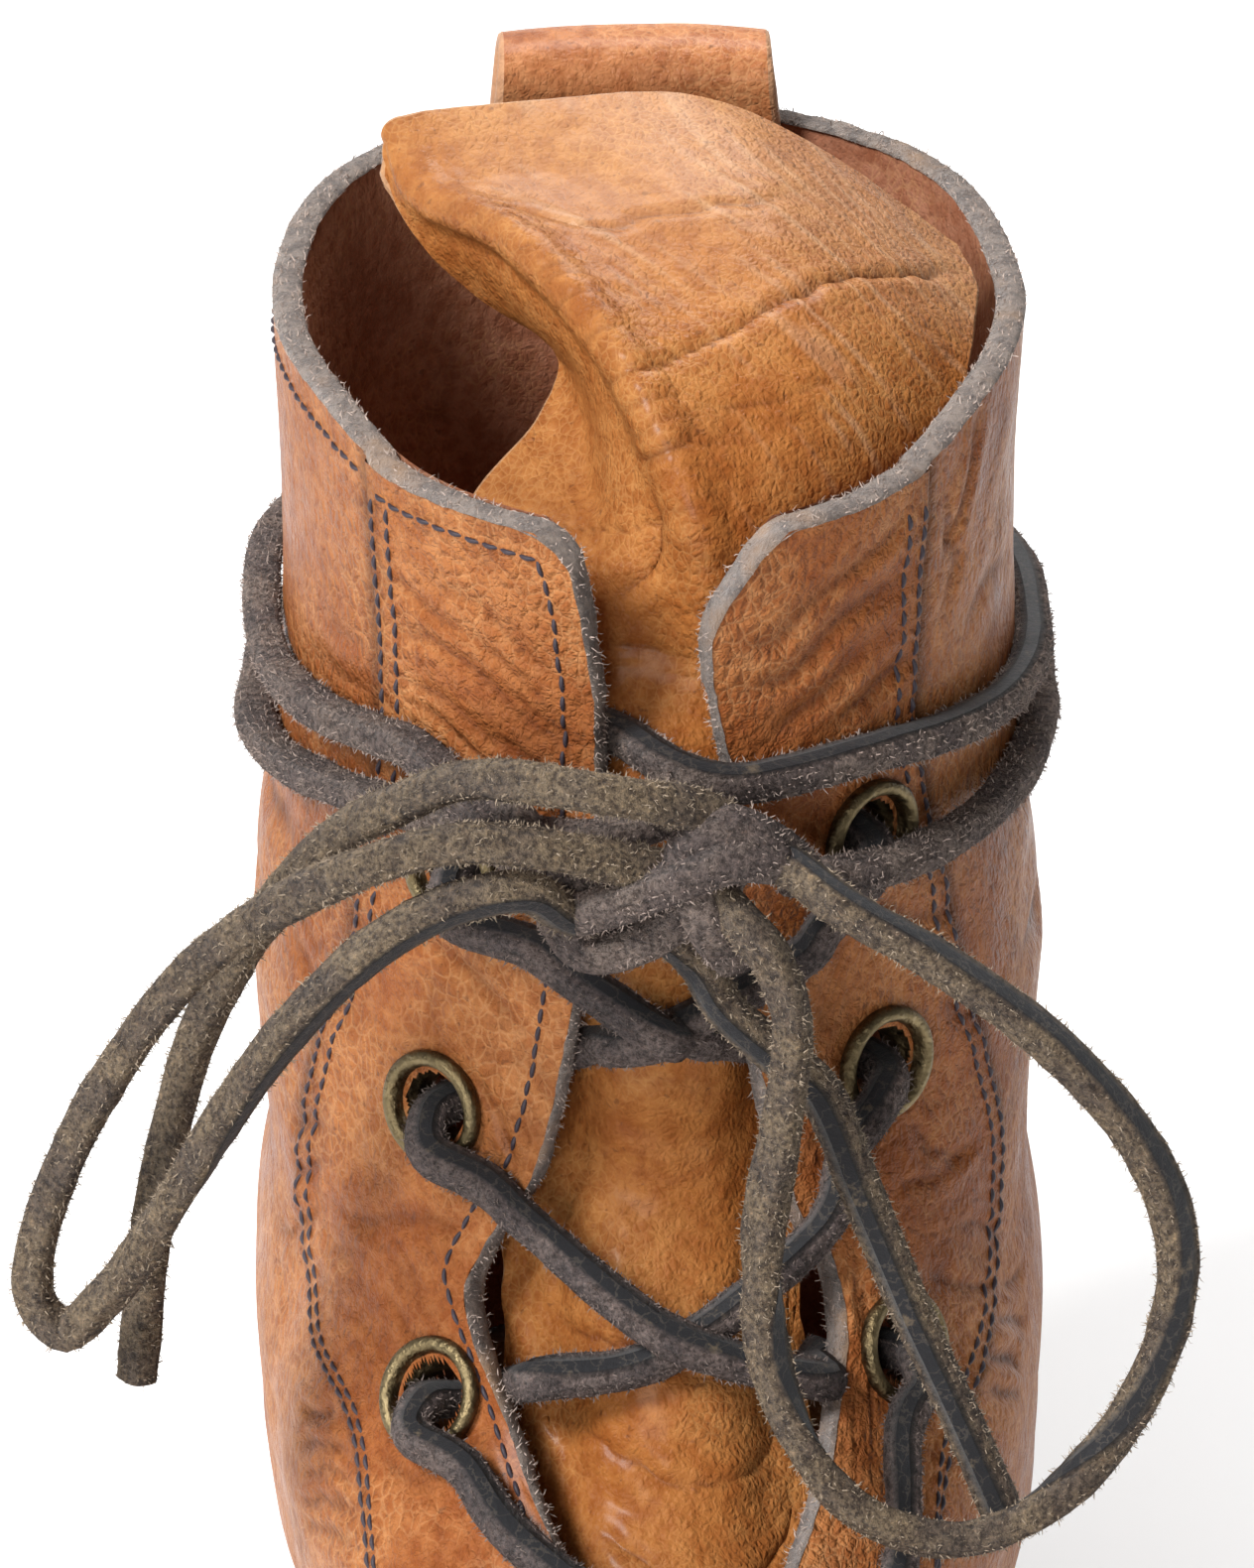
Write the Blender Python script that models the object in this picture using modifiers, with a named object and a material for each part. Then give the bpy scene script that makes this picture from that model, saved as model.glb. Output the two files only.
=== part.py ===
"""A lace-up leather boot for the right foot, standing empty and unbent on its sole.

Metres, +Z up. The toe points to -Y and +X is the inner side, where the big toe is.
The origin is the middle of the heel's contact with the floor.
"""

import math

import bmesh
import bpy
import numpy as np
from mathutils import Matrix, Vector

# Driving sizes of the last, the sole and the shaft
SOLE_LENGTH = 0.286
BALL_WIDTH = 0.092
INSTEP_HEIGHT = 0.076
HEEL_HEIGHT = 0.024
HEEL_LENGTH = 0.064
TOE_SPRING = 0.009
OUTSOLE_THICKNESS = 0.006
WELT_THICKNESS = 0.004
WELT_OVERHANG = 0.004
INSOLE_THICKNESS = 0.005
COLLAR_HEIGHT = 0.200
COLLAR_WIDTH = 0.080
COLLAR_DEPTH = 0.102
THROAT_LENGTH = 0.172

# Leather, metal and lace
WALL = 0.0026
PANEL_STEP = 0.0007
TONGUE_THICKNESS = 0.0022
LOOP_THICKNESS = 0.0022
LOOP_WIDTH = 0.030
EYELET_OUTER_RADIUS = 0.0064
EYELET_HOLE_RADIUS = 0.0033
EYELET_RIM = 0.0011
LACE_WIDTH = 0.0041

# Clearances between pieces
SEAT_GAP = 0.0003
SOFT_GAP = 0.0008

# Places that the sizes above settle
HEEL_BACK_Y = HEEL_LENGTH / 2
LAST_BACK_Y = HEEL_BACK_Y - WELT_OVERHANG
LAST_LENGTH = SOLE_LENGTH - 2 * WELT_OVERHANG
SHAFT_BACK_INSET = 0.006
AXIS_Y = LAST_BACK_Y - SHAFT_BACK_INSET - COLLAR_DEPTH / 2

# The foot of the last. along: share of its length from the heel. middle and half: the
# middle line's offset and the half width, shares of the ball width. crown: share of the
# instep height above the sole.
LAST = {
    "along": (0.00, 0.12, 0.22, 0.36, 0.50, 0.62, 0.71, 0.80, 0.90, 1.00),
    "middle": (0.000, 0.000, -0.005, -0.025, -0.030, -0.015, 0.005, 0.030, 0.060, 0.085),
    "half": (0.350, 0.350, 0.355, 0.375, 0.430, 0.480, 0.500, 0.480, 0.420, 0.330),
    "crown": (0.60, 0.62, 0.70, 0.95, 0.92, 0.77, 0.665, 0.595, 0.55, 0.50),
}
HEEL_ROUND = 0.11
TOE_ROUND = 0.17
LAST_SQUARENESS = 2.35
LAST_WIDEST = 0.13

# The shaft. up: share of the collar height. front and back: reach from the shaft's axis,
# shares of the collar depth. half: half width, share of the collar width. form: how square
# the front half of the section is, 2 for an ellipse.
SHAFT = {
    "up": (0.10, 0.17, 0.24, 0.30, 0.40, 0.50, 0.60, 0.70, 0.80, 0.90, 1.00, 1.15),
    "front": (0.55, 0.60, 0.64, 0.66, 0.64, 0.56, 0.515, 0.495, 0.487, 0.49, 0.500, 0.510),
    "back": (0.550, 0.555, 0.560, 0.560, 0.550, 0.525, 0.495, 0.475, 0.475, 0.485, 0.500, 0.515),
    "half": (0.36, 0.40, 0.50, 0.555, 0.565, 0.540, 0.553, 0.53, 0.50, 0.495, 0.500, 0.505),
    "form": (2.3, 2.3, 2.5, 2.6, 2.5, 2.2, 2.0, 1.90, 1.88, 1.88, 1.88, 1.88),
}
SHAFT_WIDEST = 0.03
BACK_FORM = 2.45
ANKLE_BLEND = 0.022
BLEND_FLOOR = 0.20
BLEND_TOP = 0.46
# How much further down the sides each ring of the skin lies than at the front
RING_SINK = 0.8

# The collar's top line. turn: share of half a turn from the front. rise: share of the
# collar height, the same on both sides.
COLLAR = {
    "turn": (0.00, 0.18, 0.32, 0.55, 0.80, 1.00),
    "rise": (0.985, 0.985, 0.995, 1.000, 1.000, 1.005),
}

# The throat. down: share of the throat's length from the collar. The edges and the seams
# behind the eyelets are girths from the front middle line, shares of the collar width.
THROAT = {
    "down": (0, 0.02, 0.07, 0.12, 0.17, 0.25, 0.32, 0.39, 0.47, 0.55, 0.60, 0.65, 0.71, 0.80, 0.90, 1),
    "outer_edge": (
        *(0.165, 0.12, 0.10, 0.088, 0.088, 0.097, 0.118, 0.145),
        *(0.193, 0.295, 0.345, 0.24, 0.15, 0.11, 0.07, 0.0),
    ),
    "inner_edge": (
        *(0.155, 0.11, 0.055, 0.068, 0.092, 0.10, 0.113, 0.14),
        *(0.19, 0.31, 0.345, 0.21, 0.14, 0.10, 0.06, 0.0),
    ),
    "outer_seam": (
        *(0.46, 0.458, 0.455, 0.45, 0.448, 0.47, 0.505, 0.55),
        *(0.64, 0.73, 0.785, 0.82, 0.82, 0.70, 0.67, 0.66),
    ),
    "inner_seam": (
        *(0.41, 0.41, 0.405, 0.405, 0.407, 0.46, 0.525, 0.58),
        *(0.68, 0.79, 0.84, 0.875, 0.89, 0.88, 0.84, 0.79),
    ),
}
# Below the throat the seams run on down the sides of the vamp to the welt.
SEAM_AT_WELT = 1.05


def along_table(table, column, where):
    """A smooth curve through a table's column, with no overshoot, read at where."""
    names = list(table)
    xs = np.asarray(table[names[0]], float)
    ys = np.asarray(table[column], float)
    step = np.diff(xs)
    slope = np.diff(ys) / step
    tangent = np.zeros(len(ys))
    tangent[0], tangent[-1] = slope[0], slope[-1]
    product = slope[:-1] * slope[1:]
    same_way = product > 0
    total = np.where(same_way, slope[:-1] + slope[1:], 1.0)
    tangent[1:-1] = np.where(same_way, 2 * product / total, 0.0)
    where = np.clip(np.asarray(where, float), xs[0], xs[-1])
    i = np.clip(np.searchsorted(xs, where, side="right") - 1, 0, len(step) - 1)
    t = (where - xs[i]) / step[i]
    return (
        ys[i] * (1 + 2 * t) * (1 - t) ** 2
        + tangent[i] * step[i] * t * (1 - t) ** 2
        + ys[i + 1] * t * t * (3 - 2 * t)
        + tangent[i + 1] * step[i] * t * t * (t - 1)
    )


def ease(low, high, value):
    """0 below low, 1 above high and a smooth step between."""
    t = np.clip((np.asarray(value, float) - low) / (high - low), 0, 1)
    return t * t * (3 - 2 * t)


# The sole's bottom line: heel seat, waist, tread and toe spring, as shares of the sole's length
BREAST_SHARE = HEEL_LENGTH / SOLE_LENGTH
TREAD_START = 0.60
TREAD_END = 0.76


def sole_underside(y):
    """Height of the outsole's underside: the seat on the heel, the waist, the tread, the toe."""
    share = (HEEL_BACK_Y - np.asarray(y, float)) / SOLE_LENGTH
    seat_end = BREAST_SHARE + 0.01
    waist = HEEL_HEIGHT * (1 - ease(seat_end, TREAD_START, share))
    toe = np.clip((share - TREAD_END) / (1 - TREAD_END), 0, 1.1)
    return waist + TOE_SPRING * toe**2


def welt_top(y):
    """Height of the welt's upper face, where the upper stands."""
    return sole_underside(y) + OUTSOLE_THICKNESS + WELT_THICKNESS


def foot_share(y):
    return (LAST_BACK_Y - np.asarray(y, float)) / LAST_LENGTH


def round_end(distance, reach):
    """Quarter ellipse: 0 at the tip, 1 from reach on."""
    t = np.clip(distance / reach, 0, 1)
    return np.sqrt(np.maximum(1 - (1 - t) ** 2, 0))


def foot_half_width(share, grow=0.0):
    """Half width of the last at a share of its length, grown outward all round by grow."""
    g = grow / LAST_LENGTH
    heel = round_end(share + g, HEEL_ROUND + g)
    toe = round_end(1 + g - share, TOE_ROUND + g)
    half = along_table(LAST, "half", share) * BALL_WIDTH + grow
    return half * heel * toe


def foot_middle(share):
    return along_table(LAST, "middle", share) * BALL_WIDTH


def foot_field(x, y, z):
    """Below 0 inside the foot of the last, about the distance outside it."""
    share = foot_share(y)
    half = np.maximum(foot_half_width(share), 0.0004)
    toe = round_end(1 - share, TOE_ROUND)
    crown = along_table(LAST, "crown", share) * INSTEP_HEIGHT * (0.35 + 0.65 * toe)
    widest = LAST_WIDEST * crown
    up = z - welt_top(y) - widest
    height = np.where(up > 0, up / (crown - widest), -up / (3 * widest))
    across = np.abs(x - foot_middle(share)) / half
    n = LAST_SQUARENESS
    scale = np.minimum(along_table(LAST, "half", share) * BALL_WIDTH, crown)
    beyond = np.maximum(-share, share - 1) * LAST_LENGTH
    return np.maximum(((across**n + height**n) ** (1 / n) - 1) * scale, beyond)


def shaft_field(x, y, z):
    """Below 0 inside the shaft, about the distance outside it."""
    up = z / COLLAR_HEIGHT
    half = along_table(SHAFT, "half", up) * COLLAR_WIDTH
    front = along_table(SHAFT, "front", up) * COLLAR_DEPTH
    back = along_table(SHAFT, "back", up) * COLLAR_DEPTH
    wide_y = AXIS_Y + SHAFT_WIDEST * COLLAR_DEPTH
    ahead = wide_y - y
    reach = np.where(ahead > 0, front + SHAFT_WIDEST * COLLAR_DEPTH, back - SHAFT_WIDEST * COLLAR_DEPTH)
    n = np.where(ahead > 0, along_table(SHAFT, "form", up), BACK_FORM)
    ring = ((np.abs(x) / half) ** n + (np.abs(ahead) / reach) ** n) ** (1 / n)
    return (ring - 1) * half


def boot_field(x, y, z):
    """The foot and the shaft, run into each other round the ankle."""
    foot = foot_field(x, y, z)
    shaft = shaft_field(x, y, z)
    ahead = ease(0.0, 0.45 * COLLAR_DEPTH, AXIS_Y - y)
    width = 1e-5 + ANKLE_BLEND * ahead * ease(BLEND_FLOOR, BLEND_TOP, z / COLLAR_HEIGHT)
    share = np.clip(0.5 + 0.5 * (shaft - foot) / width, 0, 1)
    return shaft * (1 - share) + foot * share - width * share * (1 - share)


class Skin:
    """The boot's outer form as rings, from the welt (level 0) to the collar (level 1).

    A place on it is a level and a girth, the signed distance along that ring from the
    front middle line. Girths to the inner side are positive.
    """

    TURNS = 241
    RAYS = 300
    LEVELS = 220

    def __init__(self):
        share = np.linspace(-1, 1, self.TURNS)
        turns = math.pi * np.sign(share) * np.abs(share) ** 1.5
        self.turns = turns
        tilt = np.radians(np.linspace(-66, 87.5, self.RAYS))
        lead = np.maximum(np.cos(turns), 0) ** 2
        pivot_reach = (0.07 + 0.20 * lead) * COLLAR_DEPTH
        pivot_height = 0.31 * COLLAR_HEIGHT
        side = np.stack([np.sin(turns), -np.cos(turns)])
        near = np.zeros((self.TURNS, self.RAYS))
        far = np.full_like(near, 1.2 * SOLE_LENGTH)
        for _ in range(26):
            middle = (near + far) / 2
            reach = pivot_reach[:, None] + middle * np.cos(tilt)
            z = pivot_height + middle * np.sin(tilt)
            x = side[0][:, None] * reach
            y = AXIS_Y + side[1][:, None] * reach
            inside = boot_field(x, y, z) < 0
            near = np.where(inside, middle, near)
            far = np.where(inside, far, middle)
        points = np.stack([x, y, z], axis=2)
        top = along_table(COLLAR, "rise", np.abs(turns) / math.pi) * COLLAR_HEIGHT
        self.levels = np.linspace(0, 1, self.LEVELS)
        self.rings = np.empty((self.LEVELS, self.TURNS, 3))
        for k in range(self.TURNS):
            line = self.between_welt_and_collar(points[k], top[k])
            run = np.concatenate([[0], np.cumsum(np.linalg.norm(np.diff(line, axis=0), axis=1))])
            if k == self.TURNS // 2:
                self.front_length = run[-1]
            sink = 1 + RING_SINK * float(ease(0, math.pi / 3, abs(turns[k])))
            for axis in range(3):
                self.rings[:, k, axis] = np.interp(self.levels**sink * run[-1], run, line[:, axis])
        steps = np.linalg.norm(np.diff(self.rings, axis=1), axis=2)
        girth = np.concatenate([np.zeros((self.LEVELS, 1)), np.cumsum(steps, axis=1)], axis=1)
        self.girth = girth - girth[:, self.TURNS // 2 : self.TURNS // 2 + 1]

    @staticmethod
    def between_welt_and_collar(line, top):
        """The part of one upright line of points between the welt's face and the collar."""
        above = line[:, 2] - welt_top(line[:, 1])
        start = int(np.max(np.nonzero(above < 0)[0]))
        t = above[start] / (above[start] - above[start + 1])
        first = line[start] + t * (line[start + 1] - line[start])
        end = int(np.argmax(line[:, 2] > top))
        t = (top - line[end - 1, 2]) / (line[end, 2] - line[end - 1, 2])
        last = line[end - 1] + t * (line[end] - line[end - 1])
        return np.vstack([first, line[start + 1 : end], last])

    def level_down(self, down):
        """The level that is this far down the front from the collar."""
        return 1 - np.asarray(down, float) / self.front_length

    def between(self, level):
        """The two sampled rings round a level, and the share of the way between them."""
        place = float(np.clip(level, 0, 1)) * (self.LEVELS - 1)
        low = min(int(place), self.LEVELS - 2)
        return low, place - low

    def back_girths(self, level):
        """The girths at which this level's ring meets itself at the back."""
        low, share = self.between(level)
        ends = self.girth[:, [0, -1]]
        return ends[low] * (1 - share) + ends[low + 1] * share

    def ring_row(self, level, girths):
        """Points at these girths on one level's ring."""
        low, share = self.between(level)
        outer, inner = self.back_girths(level)
        girths = np.asarray(girths, float)
        found = []
        for k in (low, low + 1):
            scale = np.where(girths < 0, self.girth[k, 0] / outer, self.girth[k, -1] / inner)
            near = girths * scale
            found.append(
                np.stack([np.interp(near, self.girth[k], self.rings[k, :, a]) for a in range(3)], axis=1)
            )
        return found[0] * (1 - share) + found[1] * share

    def place(self, level, girth):
        """(point, outward normal, direction round, direction up) at one place."""
        d = 0.0015
        up = d / self.front_length
        point = self.ring_row(level, [girth])[0]
        around = self.ring_row(level, [girth + d])[0] - self.ring_row(level, [girth - d])[0]
        upward = self.ring_row(min(level + up, 1), [girth])[0] - self.ring_row(level - up, [girth])[0]
        normal = np.cross(around, upward)
        normal /= np.linalg.norm(normal)
        around /= np.linalg.norm(around)
        return point, normal, around, np.cross(normal, around)

    def at_height(self, z, turn):
        """(point, outward normal) where the skin is z high, at a turn from the front."""
        k = float(np.interp(turn, self.turns, np.arange(self.TURNS)))
        low = min(int(k), self.TURNS - 2)
        line = self.rings[:, low] * (low + 1 - k) + self.rings[:, low + 1] * (k - low)
        shaft = line[self.LEVELS // 3 :]
        point = np.array([np.interp(z, shaft[:, 2], shaft[:, a]) for a in range(3)])
        level = np.interp(z, shaft[:, 2], self.levels[self.LEVELS // 3 :])
        girth = self.girth[int(level * (self.LEVELS - 1)), low]
        return point, self.place(level, girth)[1]


def parts_collection():
    """Empty the file and make the collection the parts go in, and one for the cutters."""
    for old in list(bpy.data.objects):
        bpy.data.objects.remove(old, do_unlink=True)
    for old in list(bpy.data.collections):
        bpy.data.collections.remove(old)
    parts = bpy.data.collections.new("lace_up_boot")
    cutters = bpy.data.collections.new("cutters")
    for each in (parts, cutters):
        bpy.context.scene.collection.children.link(each)
    cutters.hide_render = True
    return parts, cutters


def colour(name, rgb, roughness, metallic=0.0):
    """A plain Principled material of a part's own."""
    material = bpy.data.materials.new(name)
    material.use_nodes = True
    shader = material.node_tree.nodes["Principled BSDF"]
    shader.inputs["Base Color"].default_value = (*rgb, 1.0)
    shader.inputs["Roughness"].default_value = roughness
    shader.inputs["Metallic"].default_value = metallic
    material.diffuse_color = (*rgb, 1.0)
    return material


def add_mesh(name, points, faces, collection, material=None):
    """A mesh object with its faces turned outward."""
    mesh = bpy.data.meshes.new(name)
    shape = bmesh.new()
    corners = [shape.verts.new(Vector(p)) for p in points]
    for face in faces:
        shape.faces.new([corners[i] for i in face])
    bmesh.ops.remove_doubles(shape, verts=shape.verts, dist=0.00005)
    bmesh.ops.recalc_face_normals(shape, faces=shape.faces)
    shape.to_mesh(mesh)
    shape.free()
    made = bpy.data.objects.new(name, mesh)
    collection.objects.link(made)
    if material:
        mesh.materials.append(material)
    return made


def bake(made):
    """Put the modifiers' result in the mesh."""
    bpy.context.view_layer.update()
    finished = bpy.data.meshes.new_from_object(made.evaluated_get(bpy.context.evaluated_depsgraph_get()))
    made.modifiers.clear()
    made.data = finished
    return made


def thicken(made, thickness, offset):
    """Give an open sheet its thickness."""
    solid = made.modifiers.new("wall", "SOLIDIFY")
    solid.thickness = thickness
    solid.offset = offset
    solid.use_even_offset = False
    solid.use_rim = True
    return bake(made)


def combine(made, other, operation):
    """Cut another object out of this one, or join it on."""
    step = made.modifiers.new("boolean", "BOOLEAN")
    step.operation = operation
    step.solver = "EXACT"
    step.object = other
    return bake(made)


def sheet(rows):
    """Points and faces of a grid given as rows of points, all the same length."""
    rows = np.asarray(rows, float)
    count, width = rows.shape[:2]
    faces = []
    for i in range(count - 1):
        for j in range(width - 1):
            k = i * width + j
            faces.append((k, k + 1, k + width + 1, k + width))
    return rows.reshape(-1, 3), faces


def smooth_path(points, spacing):
    """Points at an even spacing on a smooth line through the given ones."""
    points = np.asarray(points, float)
    padded = np.vstack([2 * points[0] - points[1], points, 2 * points[-1] - points[-2]])
    fine = []
    for i in range(len(points) - 1):
        a, b, c, d = padded[i : i + 4]
        t = np.linspace(0, 1, 24, endpoint=False)[:, None]
        fine.append(
            0.5 * (2 * b + (c - a) * t + (2 * a - 5 * b + 4 * c - d) * t**2 + (3 * b - a - 3 * c + d) * t**3)
        )
    fine = np.vstack([*fine, points[-1:]])
    run = np.concatenate([[0], np.cumsum(np.linalg.norm(np.diff(fine, axis=0), axis=1))])
    count = max(int(round(run[-1] / spacing)), 2) + 1
    where = np.linspace(0, run[-1], count)
    return np.stack([np.interp(where, run, fine[:, k]) for k in range(3)], axis=1)


def tube(name, points, radius, collection, material, spacing=0.011):
    """A round cord along a smooth line through the points, closed at both ends."""
    curve = bpy.data.curves.new(name, "CURVE")
    curve.dimensions = "3D"
    curve.bevel_depth = radius
    curve.bevel_resolution = 2
    curve.use_fill_caps = True
    line = smooth_path(points, spacing)
    spline = curve.splines.new("POLY")
    spline.points.add(len(line) - 1)
    for i, point in enumerate(line):
        spline.points[i].co = (*point, 1.0)
    drawn = bpy.data.objects.new(name + "_line", curve)
    collection.objects.link(drawn)
    bpy.context.view_layer.update()
    mesh = bpy.data.meshes.new_from_object(drawn.evaluated_get(bpy.context.evaluated_depsgraph_get()))
    bpy.data.objects.remove(drawn, do_unlink=True)
    shape = bmesh.new()
    shape.from_mesh(mesh)
    bmesh.ops.remove_doubles(shape, verts=shape.verts, dist=0.00002)
    bmesh.ops.recalc_face_normals(shape, faces=shape.faces)
    shape.to_mesh(mesh)
    shape.free()
    mesh.name = name
    mesh.materials.clear()
    mesh.materials.append(material)
    made = bpy.data.objects.new(name, mesh)
    collection.objects.link(made)
    return made


def foot_outline(grow, count=30):
    """The last's outline seen from above, grown by grow, as a closed loop of (x, y)."""
    g = grow / LAST_LENGTH
    turn = np.linspace(0, math.pi, count)
    share = (1 - np.cos(turn)) / 2 * (1 + 2 * g) - g
    half = foot_half_width(share, grow)
    middle = foot_middle(share)
    y = LAST_BACK_Y - share * LAST_LENGTH
    inner = np.stack([middle + half, y], axis=1)
    outer = np.stack([middle - half, y], axis=1)
    return np.vstack([inner, outer[-2:0:-1]])


def slab(name, outline, low, high, collection, material):
    """A plate inside an outline, between two heights that are functions of y."""
    n = len(outline)
    bottom = [(x, y, float(low(y))) for x, y in outline]
    top = [(x, y, float(high(y))) for x, y in outline]
    half = n // 2
    rungs = [(i, (n - i) % n) for i in range(1, half)]
    faces = []
    for level, turned in ((0, False), (n, True)):
        previous = (0, 0)
        for i, j in [*rungs, (half, half)]:
            ring = [previous[0], i, j, previous[1]]
            ring = [level + k for k in dict.fromkeys(ring)]
            faces.append(ring[::-1] if turned else ring)
            previous = (i, j)
    for i in range(n):
        k = (i + 1) % n
        faces.append((i, k, n + k, n + i))
    return add_mesh(name, bottom + top, faces, collection, material)


def frame_at(point, normal, up):
    """A placing matrix whose Z runs along the normal and Y along up."""
    z = Vector(normal).normalized()
    x = Vector(up).cross(z).normalized()
    turn = Matrix((x, z.cross(x), z)).transposed().to_4x4()
    return Matrix.Translation(Vector(point)) @ turn


def turned_ring(name, profile, steps, collection, material, placing):
    """A ring turned from a closed profile of (radius, height) points with a Screw modifier."""
    mesh = bpy.data.meshes.new(name)
    count = len(profile)
    mesh.from_pydata([(r, 0, h) for r, h in profile], [(i, (i + 1) % count) for i in range(count)], [])
    made = bpy.data.objects.new(name, mesh)
    collection.objects.link(made)
    screw = made.modifiers.new("turn", "SCREW")
    screw.axis = "Z"
    screw.steps = steps
    screw.render_steps = steps
    screw.use_merge_vertices = True
    screw.merge_threshold = 0.00005
    bake(made)
    made.data.transform(placing)
    made.data.materials.clear()
    if material:
        made.data.materials.append(material)
    shape = bmesh.new()
    shape.from_mesh(made.data)
    bmesh.ops.recalc_face_normals(shape, faces=shape.faces)
    shape.to_mesh(made.data)
    shape.free()
    return made


PARTS, CUTTERS = parts_collection()
SKIN = Skin()

TAN = (0.55, 0.21, 0.07)
LINING = (0.60, 0.29, 0.10)
SOLE_LEATHER = (0.22, 0.10, 0.05)
RUBBER = (0.03, 0.028, 0.026)
BRASS = (0.36, 0.26, 0.12)
SUEDE = (0.17, 0.12, 0.09)


def make_outsole():
    """Leather outsole with the true bottom line, the same thickness everywhere."""

    def low(y):
        return sole_underside(y) + np.where(y > HEEL_BACK_Y - HEEL_LENGTH - 0.001, SEAT_GAP, 0.0)

    def high(y):
        return sole_underside(y) + OUTSOLE_THICKNESS - SEAT_GAP

    outline = foot_outline(WELT_OVERHANG, 34)
    return slab("outsole", outline, low, high, PARTS, colour("outsole_leather", SOLE_LEATHER, 0.6))


def make_heel():
    """Stacked heel block under the seat, a little smaller at the floor, straight at the front."""
    breast = HEEL_BACK_Y - HEEL_LENGTH
    outline = [p for p in foot_outline(WELT_OVERHANG, 44) if p[1] > breast]
    inner = sorted([p for p in outline if p[0] >= 0], key=lambda p: p[1])
    outer = sorted([p for p in outline if p[0] < 0], key=lambda p: -p[1])
    wide = float(inner[0][0])
    loop = [(wide, breast), *[tuple(p) for p in inner], *[tuple(p) for p in outer], (-wide, breast)]
    shrink = 1 - 0.05
    centre = HEEL_BACK_Y - HEEL_LENGTH / 2
    bottom = [(x * shrink, centre + (y - centre) * shrink, 0.0) for x, y in loop]
    top = [(x, y, HEEL_HEIGHT) for x, y in loop]
    n = len(loop)
    faces = [tuple(range(n))[::-1], tuple(range(n, 2 * n))]
    faces += [(i, (i + 1) % n, n + (i + 1) % n, n + i) for i in range(n)]
    return add_mesh("heel", bottom + top, faces, PARTS, colour("heel_rubber", RUBBER, 0.55))


WELT_INSIDE = 0.0060


def make_welt():
    """The welt: a flat leather ring on the outsole that the upper stands on."""
    outer = foot_outline(WELT_OVERHANG, 34)
    inner = foot_outline(-WELT_INSIDE, 34)
    n = len(outer)
    points = []
    for outline, height in ((outer, 0.0), (outer, 1.0), (inner, 1.0), (inner, 0.0)):
        for x, y in outline:
            low = float(sole_underside(y)) + OUTSOLE_THICKNESS
            points.append((x, y, low + height * (WELT_THICKNESS - 2 * SEAT_GAP)))
    faces = []
    for a, b in ((0, 1), (1, 2), (2, 3), (3, 0)):
        for i in range(n):
            k = (i + 1) % n
            faces.append((a * n + i, a * n + k, b * n + k, b * n + i))
    return add_mesh("welt", points, faces, PARTS, colour("welt_leather", SOLE_LEATHER, 0.55))


def make_insole():
    """The insole board inside the welt's ring."""

    def low(y):
        return sole_underside(y) + OUTSOLE_THICKNESS

    def high(y):
        return sole_underside(y) + OUTSOLE_THICKNESS + INSOLE_THICKNESS

    outline = foot_outline(-WELT_INSIDE - SEAT_GAP, 30)
    return slab("insole", outline, low, high, PARTS, colour("insole_leather", LINING, 0.7))


VAMP_LEVELS = (0.0, 0.04, 0.10, 0.17, 0.25, 0.34, 0.45, 0.57, 0.69, 0.80, 0.91)
THROAT_LEVELS = (1.0, 0.95, 0.88, 0.80, 0.72, 0.65, 0.58, 0.51, 0.44, 0.36, 0.28, 0.20, 0.13, 0.06, 0.0)


def panel_lines(down, side):
    """Girths of the throat's edge and of the seam behind the eyelets, at a distance down."""
    share = down / THROAT_LENGTH
    name = "inner" if side > 0 else "outer"
    edge = float(along_table(THROAT, name + "_edge", share)) * COLLAR_WIDTH if share < 1 else 0.0
    seam = float(along_table(THROAT, name + "_seam", share)) * COLLAR_WIDTH
    below = max(share - 1, 0) * THROAT_LENGTH / (SKIN.front_length - THROAT_LENGTH)
    return edge, seam + below * (SEAM_AT_WELT * COLLAR_WIDTH - seam)


def upper_row(level):
    """One ring of the upper's outer face: outer side from the back to the throat, then inner."""
    down = (1 - level) * SKIN.front_length
    row = []
    back = SKIN.back_girths(level)
    for side in (-1, 1):
        edge, seam = panel_lines(down, side)
        end = abs(back[0] if side < 0 else back[1])
        panel = [edge + (seam - edge) * t for t in (0, 0.33, 0.66, 1)]
        quarter = [seam + 0.0008, *np.linspace(seam + 0.0008, end, 14)[1:]]
        points = []
        for girth, raised in [(g, True) for g in panel] + [(g, False) for g in quarter]:
            if raised:
                point, normal = SKIN.place(level, side * girth)[:2]
                points.append(point + normal * PANEL_STEP)
            else:
                points.append(SKIN.ring_row(level, [side * girth])[0])
        row += points[::-1] if side < 0 else points
    return np.asarray(row) + (0, 0, 3 * SEAT_GAP)


def upper_levels():
    throat_end = float(SKIN.level_down(THROAT_LENGTH))
    levels = [share * throat_end for share in VAMP_LEVELS]
    return levels + [float(SKIN.level_down(THROAT_LENGTH * down)) for down in THROAT_LEVELS]


def make_upper():
    """The upper: one hollow wall, open at the collar, down the throat and underneath."""
    rows = [upper_row(level) for level in upper_levels()]
    points, faces = sheet(rows)
    width = len(rows[0])
    split = width // 2 - 1
    faces = [f for f in faces if f[0] % width != split]
    made = add_mesh("upper", points, faces, PARTS, colour("upper_leather", TAN, 0.45))
    return thicken(made, WALL, -1)


make_outsole()
make_heel()
make_welt()
make_insole()
upper = make_upper()

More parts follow.
